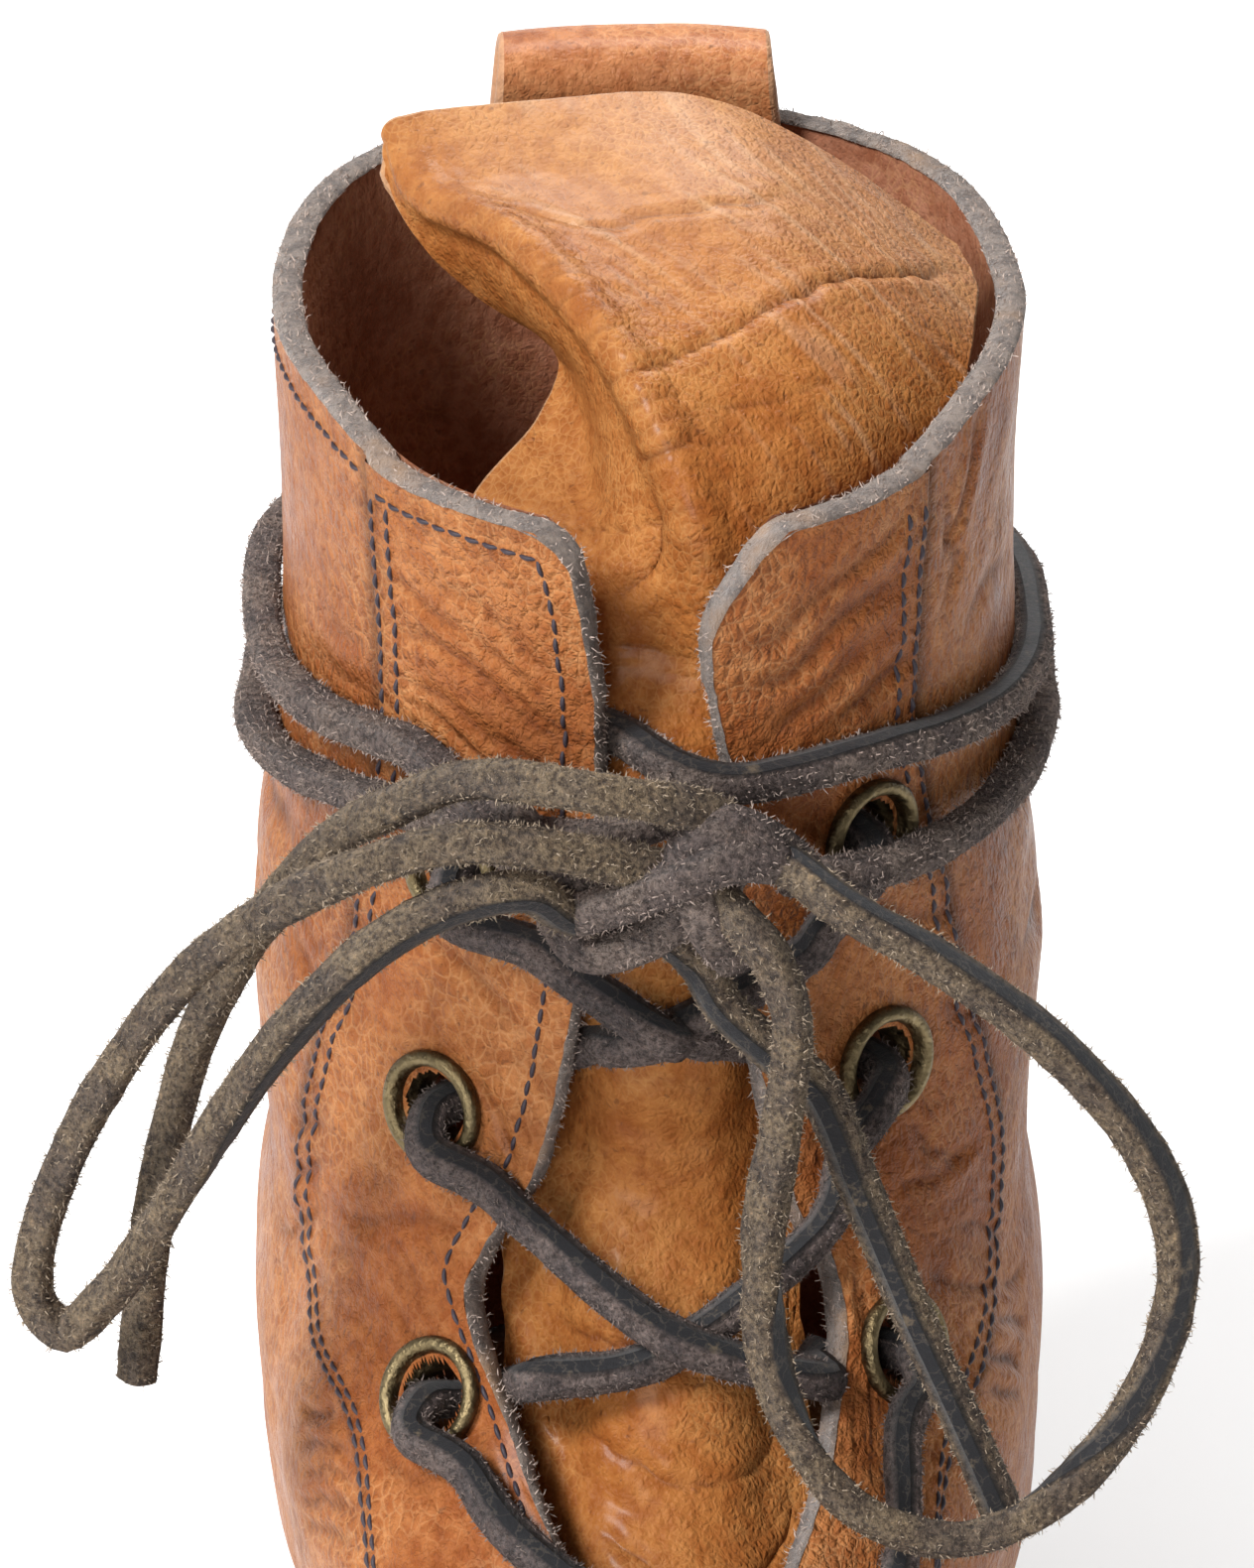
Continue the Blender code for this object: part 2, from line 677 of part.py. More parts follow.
# Eyelets, row by row from the collar. down: share of the throat's length. girth: from the
# front middle line, share of the collar width.
EYELET_ROWS = {
    "row": (1, 2, 3, 4),
    "outer_down": (0.285, 0.485, 0.687, 0.870),
    "outer_girth": (0.300, 0.373, 0.440, 0.400),
    "inner_down": (0.275, 0.476, 0.721, 0.890),
    "inner_girth": (0.330, 0.437, 0.640, 0.500),
}
SIDES = {-1: "outer", 1: "inner"}
EYELET_BARREL = 0.0005


def eyelet_place(row, side):
    """(level, girth) of an eyelet's middle."""
    name = SIDES[side]
    down = EYELET_ROWS[name + "_down"][row] * THROAT_LENGTH
    return float(SKIN.level_down(down)), side * EYELET_ROWS[name + "_girth"][row] * COLLAR_WIDTH


def eyelet_matrix(row, side):
    """Where an eyelet sits, resting on the highest leather under its rim."""
    level, girth = eyelet_place(row, side)
    point, normal, _, up = SKIN.place(level, girth)
    highest = 0.0
    for turn in np.linspace(0, 2 * math.pi, 12, endpoint=False):
        step = EYELET_OUTER_RADIUS * np.array([math.cos(turn), math.sin(turn)])
        near = SKIN.place(level + step[1] / SKIN.front_length, girth + step[0])[0]
        highest = max(highest, float((near - point) @ normal))
    seat = point + normal * (highest + PANEL_STEP + 3 * SEAT_GAP)
    return frame_at(seat, normal, up)


def make_eyelets():
    """Brass eyelets: a rolled rim outside and a barrel through the leather."""
    hole, barrel = EYELET_HOLE_RADIUS, EYELET_HOLE_RADIUS + EYELET_BARREL
    depth = WALL + PANEL_STEP + 0.0012
    outer, rim = EYELET_OUTER_RADIUS, EYELET_RIM
    profile = [
        (outer, 0.45 * rim),
        (outer, 0.0),
        (barrel, 0.0),
        (barrel, -depth),
        (hole, -depth),
        (hole, 0.35 * rim),
        (hole + 0.35 * (outer - hole), rim),
        (hole + 0.72 * (outer - hole), 0.92 * rim),
    ]
    brass = colour("antique_brass", BRASS, 0.35, 1.0)
    for row in range(len(EYELET_ROWS["row"])):
        for side, name in SIDES.items():
            place = eyelet_matrix(row, side)
            turned_ring(f"eyelet_{name}_{row + 1}", profile, 14, PARTS, brass, place)
            punch = bmesh.new()
            bmesh.ops.create_cone(
                punch,
                cap_ends=True,
                segments=14,
                radius1=barrel + SEAT_GAP + 0.0002,
                radius2=barrel + SEAT_GAP + 0.0002,
                depth=4 * depth,
            )
            mesh = bpy.data.meshes.new("punch")
            punch.to_mesh(mesh)
            punch.free()
            mesh.transform(place)
            cutter = bpy.data.objects.new("punch", mesh)
            CUTTERS.objects.link(cutter)
            combine(upper, cutter, "DIFFERENCE")
            bpy.data.objects.remove(cutter, do_unlink=True)


# The tongue above the collar. Five points across, from the outer edge over the hollow and the
# ridge to the inner edge: x as a share of the collar width, y as a share of the collar depth
# from the collar's middle to the front, z as a share of the collar height.
TONGUE_ACROSS = ("outer_edge", "hollow", "ridge", "flank", "inner_edge")
TONGUE_TOP = {
    "x": (
        (-0.285, -0.150, 0.050, 0.170, 0.285),
        (-0.255, -0.100, 0.072, 0.205, 0.315),
        (-0.225, -0.062, 0.040, 0.215, 0.380),
        (-0.212, -0.112, -0.056, 0.190, 0.400),
        (-0.250, -0.188, -0.125, 0.150, 0.415),
        (-0.320, -0.294, -0.250, 0.100, 0.420),
        (-0.350, -0.337, -0.312, 0.075, 0.405),
    ),
    "y": (
        (0.270, 0.362, 0.395, 0.350, 0.270),
        (0.225, 0.330, 0.392, 0.335, 0.235),
        (0.170, 0.275, 0.363, 0.320, 0.205),
        (0.090, 0.186, 0.265, 0.255, 0.147),
        (0.020, 0.078, 0.127, 0.137, 0.088),
        (-0.020, -0.010, 0.000, 0.010, 0.020),
        (-0.050, -0.060, -0.074, -0.088, -0.030),
    ),
    "z": (
        (0.890, 0.885, 0.880, 0.885, 0.895),
        (0.935, 0.935, 0.932, 0.935, 0.940),
        (0.965, 0.960, 0.980, 0.985, 0.985),
        (0.990, 1.000, 1.030, 1.030, 1.005),
        (1.010, 1.030, 1.060, 1.065, 1.022),
        (1.030, 1.045, 1.072, 1.085, 1.030),
        (1.045, 1.060, 1.080, 1.092, 1.040),
    ),
}
TONGUE_HALF_WIDTH = 0.36
TONGUE_UNDER_VAMP = 0.012
TONGUE_COLUMNS = 9


def make_tongue():
    """The tongue: behind the throat it follows the upper, above the collar it leans back."""
    across = np.linspace(-1, 1, TONGUE_COLUMNS)
    rows = []
    bottom = THROAT_LENGTH + TONGUE_UNDER_VAMP
    for share in np.linspace(0, 1, 12):
        down = bottom + share * (0.17 * THROAT_LENGTH - bottom)
        level = float(SKIN.level_down(down))
        near = float(ease(0, 0.16, share))
        depth = WALL + SOFT_GAP + TONGUE_THICKNESS / 2 + near * (LACE_WIDTH + 1.4 * SOFT_GAP)
        half = TONGUE_HALF_WIDTH * COLLAR_WIDTH * (0.62 + 0.38 * min(share * 2.2, 1))
        row = []
        for place in across:
            point, normal = SKIN.place(level, place * half)[:2]
            row.append(point - normal * depth)
        rows.append(row)
    columns = (across + 1) / 2 * (len(TONGUE_ACROSS) - 1)
    table = {"place": tuple(range(len(TONGUE_ACROSS)))}
    for x, y, z in zip(TONGUE_TOP["x"], TONGUE_TOP["y"], TONGUE_TOP["z"]):
        table.update(x=x, y=y, z=z)
        rows.append(
            np.stack(
                [
                    along_table(table, "x", columns) * COLLAR_WIDTH,
                    AXIS_Y - along_table(table, "y", columns) * COLLAR_DEPTH,
                    along_table(table, "z", columns) * COLLAR_HEIGHT,
                ],
                axis=1,
            )
        )
    points, faces = sheet(rows)
    made = add_mesh("tongue", points, faces, PARTS, colour("tongue_leather", TAN, 0.5))
    return thicken(made, TONGUE_THICKNESS, 0)


LOOP_RISE = 0.0105
LOOP_HOLE = 0.0075
LOOP_LEG = 0.034


def make_pull_loop():
    """The pull loop: a strap up the back seam, over the collar and down to its edge."""
    collar = float(along_table(COLLAR, "rise", 1.0)) * COLLAR_HEIGHT
    half = LOOP_THICKNESS / 2
    rows = []
    across = np.linspace(-1, 1, 7)

    def behind(z, place):
        """The strap's middle where it lies on the leather at a height, at a share across."""
        girth_turn = place * LOOP_WIDTH / COLLAR_DEPTH
        point, normal = SKIN.at_height(z, math.pi - abs(girth_turn) * 1.05)
        x = math.copysign(1, place) * abs(point[0])
        return x, point[1] + (half + 3 * SEAT_GAP) * abs(normal[1])

    for z in np.linspace(collar - LOOP_LEG, collar - 0.001, 7):
        rows.append([(*behind(z, place), z) for place in across])
    base = rows[-1]
    reach = base[len(across) // 2][1] - (AXIS_Y + COLLAR_DEPTH / 2)
    front = -LOOP_HOLE - LOOP_THICKNESS
    turns = {
        "along": (0.0, 0.15, 0.32, 0.46, 0.60, 0.74, 0.87, 1.0),
        "back": (0.0, 0.05, -0.05, -0.40, -0.80, -1.0, -1.0, -0.97),
        "rise": (0.25, 0.58, 0.90, 1.0, 0.92, 0.62, 0.35, 0.14),
    }
    for along in (0.0, 0.12, 0.24, 0.36, 0.47, 0.58, 0.70, 0.82, 0.92, 1.0):
        back = float(along_table(turns, "back", along))
        rise = float(along_table(turns, "rise", along))
        row = []
        for x, y, _ in base:
            bow = (y - base[len(across) // 2][1]) * (1 - 0.5 * along)
            y_middle = base[len(across) // 2][1] + (back * -front if back < 0 else back * reach)
            row.append((x * (1 - 0.06 * rise), y_middle + bow, collar + rise * LOOP_RISE))
        rows.append(row)
    points, faces = sheet(rows)
    made = add_mesh("pull_loop", points, faces, PARTS, colour("pull_loop_leather", TAN, 0.5))
    return thicken(made, LOOP_THICKNESS, 0)


make_eyelets()
make_tongue()
make_pull_loop()

LACE_RADIUS = LACE_WIDTH / 2
OVER_LEATHER = PANEL_STEP + LACE_RADIUS + 3 * SEAT_GAP
OVER_EYELET = OVER_LEATHER + EYELET_RIM + 4 * SEAT_GAP
UNDER_LEATHER = -(WALL + LACE_RADIUS + 2 * SEAT_GAP)
SUEDE_LACE = colour("suede_lace", SUEDE, 0.9)


def above_skin(down, girth, lift):
    """A point lifted off the skin, at a distance down the throat and a girth."""
    point, normal = SKIN.place(float(SKIN.level_down(down)), girth)[:2]
    return point + normal * lift


def strand(row, side):
    """A lace from an eyelet across the throat and in under the other side's edge."""
    from_level, start = eyelet_place(row, side)
    to_level, end = eyelet_place(row + 1, -side)
    top, bottom = ((1 - level) * SKIN.front_length for level in (from_level, to_level))
    points = []

    def down_at(girth):
        return top + (bottom - top) * (abs(girth - start) / abs(end - start)) ** 2

    early = (1.0, 2.3, 0.7)[row]
    edge = 0.0
    for _ in range(6):
        edge = panel_lines(down_at(-side * edge), -side)[0]
    stops = [
        (start, OVER_EYELET),
        (start - side * 0.006, OVER_EYELET),
        (start - side * 0.012, OVER_LEATHER + 0.0006),
        (side * 0.5 * abs(start), OVER_LEATHER),
        (0.0, OVER_LEATHER),
        (-side * (edge - 0.0095 * early), (0.0012, 0.0012, 0.0030)[row]),
        (-side * (edge - 0.0055 * early), -0.0022),
        (-side * (edge - 0.0018 * early), UNDER_LEATHER - 0.0004),
        (-side * (edge + 0.0050), UNDER_LEATHER - 0.0006),
    ]
    if row == 0:
        stops = stops[3:]
    rise = (1.6, 0.5, 2.4)[row] * SOFT_GAP
    for girth, lift in stops:
        lift += rise if lift > LACE_RADIUS else 0.0
        points.append(above_skin(down_at(girth), girth, lift))
    return points


def make_crossings():
    """Between two rows of eyelets the lace crosses itself; at the last row it runs straight."""
    for row in range(3):
        name = f"lace_crossing_{row + 1}"
        made = tube(name, strand(row, -1), LACE_RADIUS, PARTS, SUEDE_LACE, 0.0065)
        other = tube(name + "_other", strand(row, 1), LACE_RADIUS, CUTTERS, SUEDE_LACE, 0.0065)
        combine(made, other, "UNION")
        bpy.data.objects.remove(other, do_unlink=True)
    ends = [eyelet_place(3, side) for side in (-1, 1)]
    points = []
    for share in (0, 0.09, 0.18, 0.35, 0.5, 0.65, 0.82, 0.91, 1):
        down = [(1 - level) * SKIN.front_length for level, _ in ends]
        sag = 0.007 * math.sin(math.pi * share) ** 0.7
        girth = ends[0][1] * (1 - share) + ends[1][1] * share
        near = min(share, 1 - share)
        lift = OVER_LEATHER + SOFT_GAP + (OVER_EYELET - OVER_LEATHER) * float(1 - ease(0.10, 0.22, near))
        points.append(above_skin(down[0] * (1 - share) + down[1] * share + sag, girth, lift))
    tube("lace_bar", points, LACE_RADIUS, PARTS, SUEDE_LACE, 0.0065)


# Where the two ends of the lace run round the shaft. turn: degrees from the front, positive to
# the inner side. height: share of the collar height. lift: off the skin, in lace widths.
UPPER_TURN = {
    "turn": (-13, -9.5, -5, 0, 4.5, 10, 25, 42, 65, 90, 120, 150, 180, 210, 240, 266, 285, 306, 322, 331),
    "height": (
        *(0.862, 0.862, 0.860, 0.857, 0.853, 0.850, 0.845, 0.828, 0.808, 0.798),
        *(0.795, 0.800, 0.803, 0.806, 0.813, 0.817, 0.812, 0.824, 0.838, 0.842),
    ),
    "lift": (
        *(-1.38, -1.38, -1.05, -0.05, 0.80, 1.12, 1.00, 0.84, 0.78, 0.76),
        *(0.76, 0.76, 0.76, 0.76, 0.76, 0.76, 0.76, 0.82, 0.92, 0.96),
    ),
}
LOWER_TURN = {
    "turn": (
        *(13, 9.5, 5, 0, -4.5, -10, -25, -36, -50, -72, -98),
        *(-125, -150, -180, -210, -240, -266, -290, -310, -326, -337, -344),
    ),
    "height": (
        *(0.822, 0.825, 0.826, 0.825, 0.822, 0.817, 0.810, 0.800, 0.785, 0.762, 0.745),
        *(0.745, 0.750, 0.757, 0.757, 0.755, 0.750, 0.757, 0.765, 0.775, 0.785, 0.792),
    ),
    "lift": (
        *(-1.38, -1.38, -1.05, -0.05, 0.80, 1.15, 1.46, 1.20, 0.85, 0.76, 0.76),
        *(0.77, 0.77, 0.76, 0.76, 0.77, 0.77, 0.80, 1.00, 1.48, 1.48, 1.42),
    ),
}


def round_the_shaft(table):
    points = []
    for turn, height, lift in zip(table["turn"], table["height"], table["lift"]):
        angle = (math.radians(turn) + math.pi) % (2 * math.pi) - math.pi
        point, normal = SKIN.at_height(height * COLLAR_HEIGHT, angle)
        points.append(point + normal * lift * LACE_WIDTH)
    return points


# The knot, the bow's two loops and the lace's two free ends, millimetres from the origin.
KNOT_STRANDS = (
    ((-17.5, -80.5, 170.0), (-14.0, -87, 167.0), (-11.8, -90, 161.5), (-8.5, -91, 157.5),
     (-3.5, -91.5, 159.0), (2.0, -91.5, 163.0), (7.5, -91, 167.5)),
    ((13.5, -81.1, 158.6), (12.7, -87.0, 163.0), (9.0, -90.5, 168.5), (4.0, -91.2, 172.0),
     (0.5, -91, 168.0), (3.5, -90.5, 162.0), (6.5, -89.3, 156.8)),
)
BOW = {
    "lace_loop_left": (
        (-3.5, -94.4, 168.4), (-13.4, -97.5, 172.5), (-22.2, -97, 172.7), (-32.1, -97, 169.5),
        (-40.1, -95, 164.0), (-47.2, -93, 157.2), (-53.5, -91, 148.0), (-60.0, -89.5, 136.0),
        (-64.8, -89, 123.5), (-66.0, -89.5, 115.0), (-62.8, -90.5, 111.0), (-59.0, -92, 115.5),
        (-55.5, -93, 120.7), (-50.0, -95, 131.5), (-44.6, -97, 142.2), (-38.4, -98, 152.0),
        (-30.3, -98, 161.0), (-22.3, -97.5, 165.9), (-14.5, -97, 167.2), (-9.5, -93.6, 162.3),
    ),
    "lace_end_left": (
        (2.5, -93.5, 174.1), (-7.5, -97.0, 178.3), (-19.2, -93, 177.8), (-27.1, -90, 173.3),
        (-34.2, -87, 167.2), (-40.5, -84, 157.4), (-43.7, -83, 152.2), (-48.1, -82, 142.2),
        (-50.9, -82, 132.7), (-53.9, -84, 118.3), (-55.9, -87, 102.4),
    ),
    "lace_loop_right": (
        (11.0, -93.4, 168.0), (17.0, -97.5, 165.1), (27.0, -98, 158.6), (38.0, -99, 149.8),
        (47.3, -100, 138.5), (51.6, -101, 127.2), (50.7, -103, 116.5), (45.9, -104, 105.1),
        (37.7, -107, 97.6), (28.5, -108, 94.9), (19.3, -108, 98.8), (13.2, -106, 106.1),
        (9.8, -102, 115.6), (9.4, -99, 126.8), (11.3, -97.8, 140.1), (12.2, -97.5, 151.4),
        (10.2, -97, 158.4), (7.8, -96.5, 161.8),
    ),
    "lace_end_right": (
        (2.8, -90.0, 154.9), (5.6, -90.5, 149.5), (10.7, -90.5, 143.9), (15.7, -91, 139.0),
        (19.9, -92, 127.9), (25.1, -94, 114.6), (31.3, -97, 100.5), (35.0, -99, 91.8),
    ),
}


def in_metres(points):
    return [tuple(value / 1000 for value in point) for point in points]


def make_bow():
    """The lace's turns round the shaft and the bow tied at the front."""
    tube("lace_turn_upper", round_the_shaft(UPPER_TURN), LACE_RADIUS, PARTS, SUEDE_LACE, 0.010)
    tube("lace_turn_lower", round_the_shaft(LOWER_TURN), LACE_RADIUS, PARTS, SUEDE_LACE, 0.010)
    first, second = (in_metres(points) for points in KNOT_STRANDS)
    knot = tube("lace_knot", first, LACE_RADIUS, PARTS, SUEDE_LACE, 0.006)
    other = tube("knot_other", second, LACE_RADIUS, CUTTERS, SUEDE_LACE, 0.006)
    combine(knot, other, "UNION")
    bpy.data.objects.remove(other, do_unlink=True)
    for name, points in BOW.items():
        tube(name, in_metres(points), LACE_RADIUS, PARTS, SUEDE_LACE)


make_crossings()
make_bow()
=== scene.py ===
"""The looks of a worn lace-up leather boot for the right foot, built round its CAD part.

Metres, +Z up. The toe points to -Y and +X is the inner side of the foot.
"""

import math

import bpy
import numpy as np
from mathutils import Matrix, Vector


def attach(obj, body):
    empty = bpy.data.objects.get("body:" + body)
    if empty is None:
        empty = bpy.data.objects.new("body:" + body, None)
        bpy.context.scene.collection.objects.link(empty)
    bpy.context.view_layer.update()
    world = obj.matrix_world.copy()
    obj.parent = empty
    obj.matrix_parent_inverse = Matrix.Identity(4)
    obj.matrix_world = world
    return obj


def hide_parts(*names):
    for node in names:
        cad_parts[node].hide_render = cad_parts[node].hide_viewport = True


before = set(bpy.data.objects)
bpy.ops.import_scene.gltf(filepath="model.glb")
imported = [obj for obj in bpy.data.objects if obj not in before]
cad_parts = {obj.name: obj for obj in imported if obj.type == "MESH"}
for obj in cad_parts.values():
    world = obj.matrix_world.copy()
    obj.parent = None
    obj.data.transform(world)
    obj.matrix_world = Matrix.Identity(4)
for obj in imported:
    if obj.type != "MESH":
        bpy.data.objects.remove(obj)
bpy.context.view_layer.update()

# The camera. The photograph looks down on the front of the boot from a little to its outer
# side, close enough that the toe runs out of the frame at the bottom.
PHOTO_WIDTH, PHOTO_HEIGHT = 1264, 1580
COLLAR_MIDDLE = Vector((0.0, -0.029, 0.200))
COLLAR_MIDDLE_PIXEL = (653, 300)
VIEW_AZIMUTH = math.radians(-2)
VIEW_ELEVATION = math.radians(25)
VIEW_DISTANCE = 0.65
PIXELS_PER_METRE = 9460
SENSOR_LONG_SIDE = 36

view_back = Vector(
    (
        math.sin(VIEW_AZIMUTH) * math.cos(VIEW_ELEVATION),
        -math.cos(VIEW_AZIMUTH) * math.cos(VIEW_ELEVATION),
        math.sin(VIEW_ELEVATION),
    )
)
focal_pixels = PIXELS_PER_METRE * VIEW_DISTANCE
view_right = Vector((0, 0, 1)).cross(view_back).normalized()
view_up = view_back.cross(view_right)
picture_middle = (
    -view_back * focal_pixels
    + view_right * (PHOTO_WIDTH / 2 - COLLAR_MIDDLE_PIXEL[0])
    - view_up * (PHOTO_HEIGHT / 2 - COLLAR_MIDDLE_PIXEL[1])
)
camera = bpy.data.objects.new("camera", bpy.data.cameras.new("camera"))
bpy.context.scene.collection.objects.link(camera)
bpy.context.scene.camera = camera
camera.location = COLLAR_MIDDLE + view_back * VIEW_DISTANCE
camera.rotation_mode = "QUATERNION"
camera.rotation_quaternion = picture_middle.to_track_quat("-Z", "Y")
camera.data.sensor_width = SENSOR_LONG_SIDE
camera.data.lens = focal_pixels / PHOTO_HEIGHT * SENSOR_LONG_SIDE
camera.data.clip_start = 0.02
camera.data.clip_end = 20

# The bow. The lace is a square cord cut from suede leather, about 4 mm wide: three of its
# sides are napped and fuzzy, and one is the hide's smooth face, dyed blue-black and cracked.
# Its two loops and two ends hang free from the knot.
LACE_WIDTH = 0.0041
LACE_THICKNESS = 0.0037
LACE_CORNER = 3.4
LACE_STEP = 0.0009
NAP_LENGTH = 0.0009
NAP_WIDTH = 0.00008
NAP_EACH_CENTIMETRE = 300
LACE_SIDES = 20


def smooth_path(points, spacing):
    """Points at an even spacing on a smooth line through the given ones."""
    points = np.asarray(points, float)
    padded = np.vstack([2 * points[0] - points[1], points, 2 * points[-1] - points[-2]])
    fine = []
    for i in range(len(points) - 1):
        a, b, c, d = padded[i : i + 4]
        t = np.linspace(0, 1, 24, endpoint=False)[:, None]
        curve = 2 * b + (c - a) * t + (2 * a - 5 * b + 4 * c - d) * t**2
        fine.append(0.5 * (curve + (3 * b - a - 3 * c + d) * t**3))
    fine = np.vstack([*fine, points[-1:]])
    run = length_along(fine)
    count = max(int(round(run[-1] / spacing)), 2) + 1
    where = np.linspace(0, run[-1], count)
    return np.stack([np.interp(where, run, fine[:, k]) for k in range(3)], axis=1)


def length_along(points):
    steps = np.linalg.norm(np.diff(points, axis=0), axis=1)
    return np.concatenate([[0], np.cumsum(steps)])


def unit(vectors):
    return vectors / np.maximum(np.linalg.norm(vectors, axis=-1, keepdims=True), 1e-12)


def wander(values, cell, seed):
    """Smooth random numbers from -1 to 1 along a run of values that change about every cell."""
    count = 4096
    knots = np.random.default_rng(seed).uniform(-1, 1, count)
    place = np.asarray(values, float) / cell + 1000
    low = np.floor(place).astype(int)
    t = place - low
    t = t * t * (3 - 2 * t)
    return knots[low % count] * (1 - t) + knots[(low + 1) % count] * t


def ripple(across, along, cell, seed):
    """Smooth random numbers from -1 to 1 over a surface; cell is the size of its bumps."""
    count = 256
    knots = np.random.default_rng(seed).uniform(-1, 1, (count, count))
    u = np.asarray(across, float) / cell + 100
    v = np.asarray(along, float) / cell + 100
    i = np.floor(u).astype(int)
    j = np.floor(v).astype(int)
    s, t = u - i, v - j
    s = s * s * (3 - 2 * s)
    t = t * t * (3 - 2 * t)
    i, next_i = i % count, (i + 1) % count
    j, next_j = j % count, (j + 1) % count
    near = knots[i, j] * (1 - s) + knots[next_i, j] * s
    far = knots[i, next_j] * (1 - s) + knots[next_i, next_j] * s
    return near * (1 - t) + far * t


def grid_faces(rows, columns, closed=False):
    """The four-sided faces of a grid of points, which may close on itself along each row."""
    index = np.arange(rows * columns).reshape(rows, columns)
    if closed:
        index = np.hstack([index, index[:, :1]])
    corners = [index[:-1, :-1], index[:-1, 1:], index[1:, 1:], index[1:, :-1]]
    return np.stack(corners, axis=-1).reshape(-1, 4)


def piece(name, points, faces, material, replaces=(), values=None):
    """A mesh that rides on the boot, with named values at its points for its material."""
    mesh = bpy.data.meshes.new(name)
    mesh.from_pydata(np.asarray(points, float).tolist(), [], [list(map(int, f)) for f in faces])
    for value_name, each in (values or {}).items():
        stored = mesh.attributes.new(value_name, "FLOAT", "POINT")
        stored.data.foreach_set("value", np.asarray(each, np.float32).ravel())
    mesh.polygons.foreach_set("use_smooth", [True] * len(mesh.polygons))
    mesh.materials.append(material)
    made = bpy.data.objects.new(name, mesh)
    bpy.context.scene.collection.objects.link(made)
    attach(made, "root")
    if replaces:
        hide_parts(*replaces)
    return made


class Finish:
    """A procedural material: a Principled shader and short names for the nodes that feed it."""

    def __init__(self, name, roughness=0.5, **sockets):
        self.material = bpy.data.materials.new(name)
        self.material.use_nodes = True
        self.nodes = self.material.node_tree.nodes
        self.links = self.material.node_tree.links
        self.shader = self.nodes["Principled BSDF"]
        self.set("Roughness", roughness)
        for socket, value in sockets.items():
            self.set(socket.replace("_", " "), value)
        self.place = self.nodes.new("ShaderNodeTexCoord").outputs["Object"]

    def set(self, socket, value):
        if isinstance(value, bpy.types.NodeSocket):
            self.links.new(value, self.shader.inputs[socket])
        elif isinstance(value, tuple):
            self.shader.inputs[socket].default_value = (*value, 1.0)
        else:
            self.shader.inputs[socket].default_value = value

    def feed(self, node, socket, value):
        if isinstance(value, bpy.types.NodeSocket):
            self.links.new(value, node.inputs[socket])
        elif isinstance(value, tuple) and node.inputs[socket].type == "RGBA":
            node.inputs[socket].default_value = (*value, 1.0)
        else:
            node.inputs[socket].default_value = value

    def stretched(self, scale):
        node = self.nodes.new("ShaderNodeMapping")
        self.links.new(self.place, node.inputs["Vector"])
        node.inputs["Scale"].default_value = scale
        return node.outputs["Vector"]

    def noise(self, scale, detail=3.0, rough=0.55, place=None):
        node = self.nodes.new("ShaderNodeTexNoise")
        self.links.new(place or self.place, node.inputs["Vector"])
        node.inputs["Scale"].default_value = scale
        node.inputs["Detail"].default_value = detail
        node.inputs["Roughness"].default_value = rough
        return node.outputs["Fac"]

    def cells(self, scale, place):
        """The distance from the lines between cells."""
        node = self.nodes.new("ShaderNodeTexVoronoi")
        node.feature = "DISTANCE_TO_EDGE"
        self.links.new(place, node.inputs["Vector"])
        node.inputs["Scale"].default_value = scale
        return node.outputs["Distance"]

    def shifted(self, by, scale, amount):
        """The place moved about by noise, so that patterns drawn at it look grown."""
        node = self.nodes.new("ShaderNodeTexNoise")
        self.links.new(self.place, node.inputs["Vector"])
        node.inputs["Scale"].default_value = scale
        add = self.nodes.new("ShaderNodeVectorMath")
        add.operation = "MULTIPLY_ADD"
        self.links.new(node.outputs["Color"], add.inputs[0])
        add.inputs[1].default_value = (amount, amount, amount)
        self.links.new(by, add.inputs[2])
        return add.outputs["Vector"]

    def value(self, name):
        node = self.nodes.new("ShaderNodeAttribute")
        node.attribute_name = name
        return node.outputs["Fac"]

    def spread(self, value, low, high, start=0.0, end=1.0):
        """The value's range from low to high turned into start to end."""
        node = self.nodes.new("ShaderNodeMapRange")
        node.interpolation_type = "SMOOTHSTEP"
        self.feed(node, "Value", value)
        for socket, each in (("From Min", low), ("From Max", high), ("To Min", start), ("To Max", end)):
            node.inputs[socket].default_value = each
        return node.outputs["Result"]

    def sum(self, a, b, operation="ADD"):
        node = self.nodes.new("ShaderNodeMath")
        node.operation = operation
        self.feed(node, 0, a)
        self.feed(node, 1, b)
        return node.outputs[0]

    def times(self, a, b):
        return self.sum(a, b, "MULTIPLY")

    def mix(self, share, a, b, blend="MIX"):
        node = self.nodes.new("ShaderNodeMix")
        node.data_type = "RGBA"
        node.blend_type = blend
        self.feed(node, 0, share)
        self.feed(node, 6, a)
        self.feed(node, 7, b)
        return node.outputs[2]

    def tinted(self, tone, by):
        """The tone multiplied by a colour."""
        return self.mix(1.0, tone, by, "MULTIPLY")

    def bump(self, height, distance, strength=1.0, after=None):
        node = self.nodes.new("ShaderNodeBump")
        node.inputs["Strength"].default_value = strength
        node.inputs["Distance"].default_value = distance
        self.links.new(height, node.inputs["Height"])
        if after:
            self.links.new(after, node.inputs["Normal"])
        return node.outputs["Normal"]


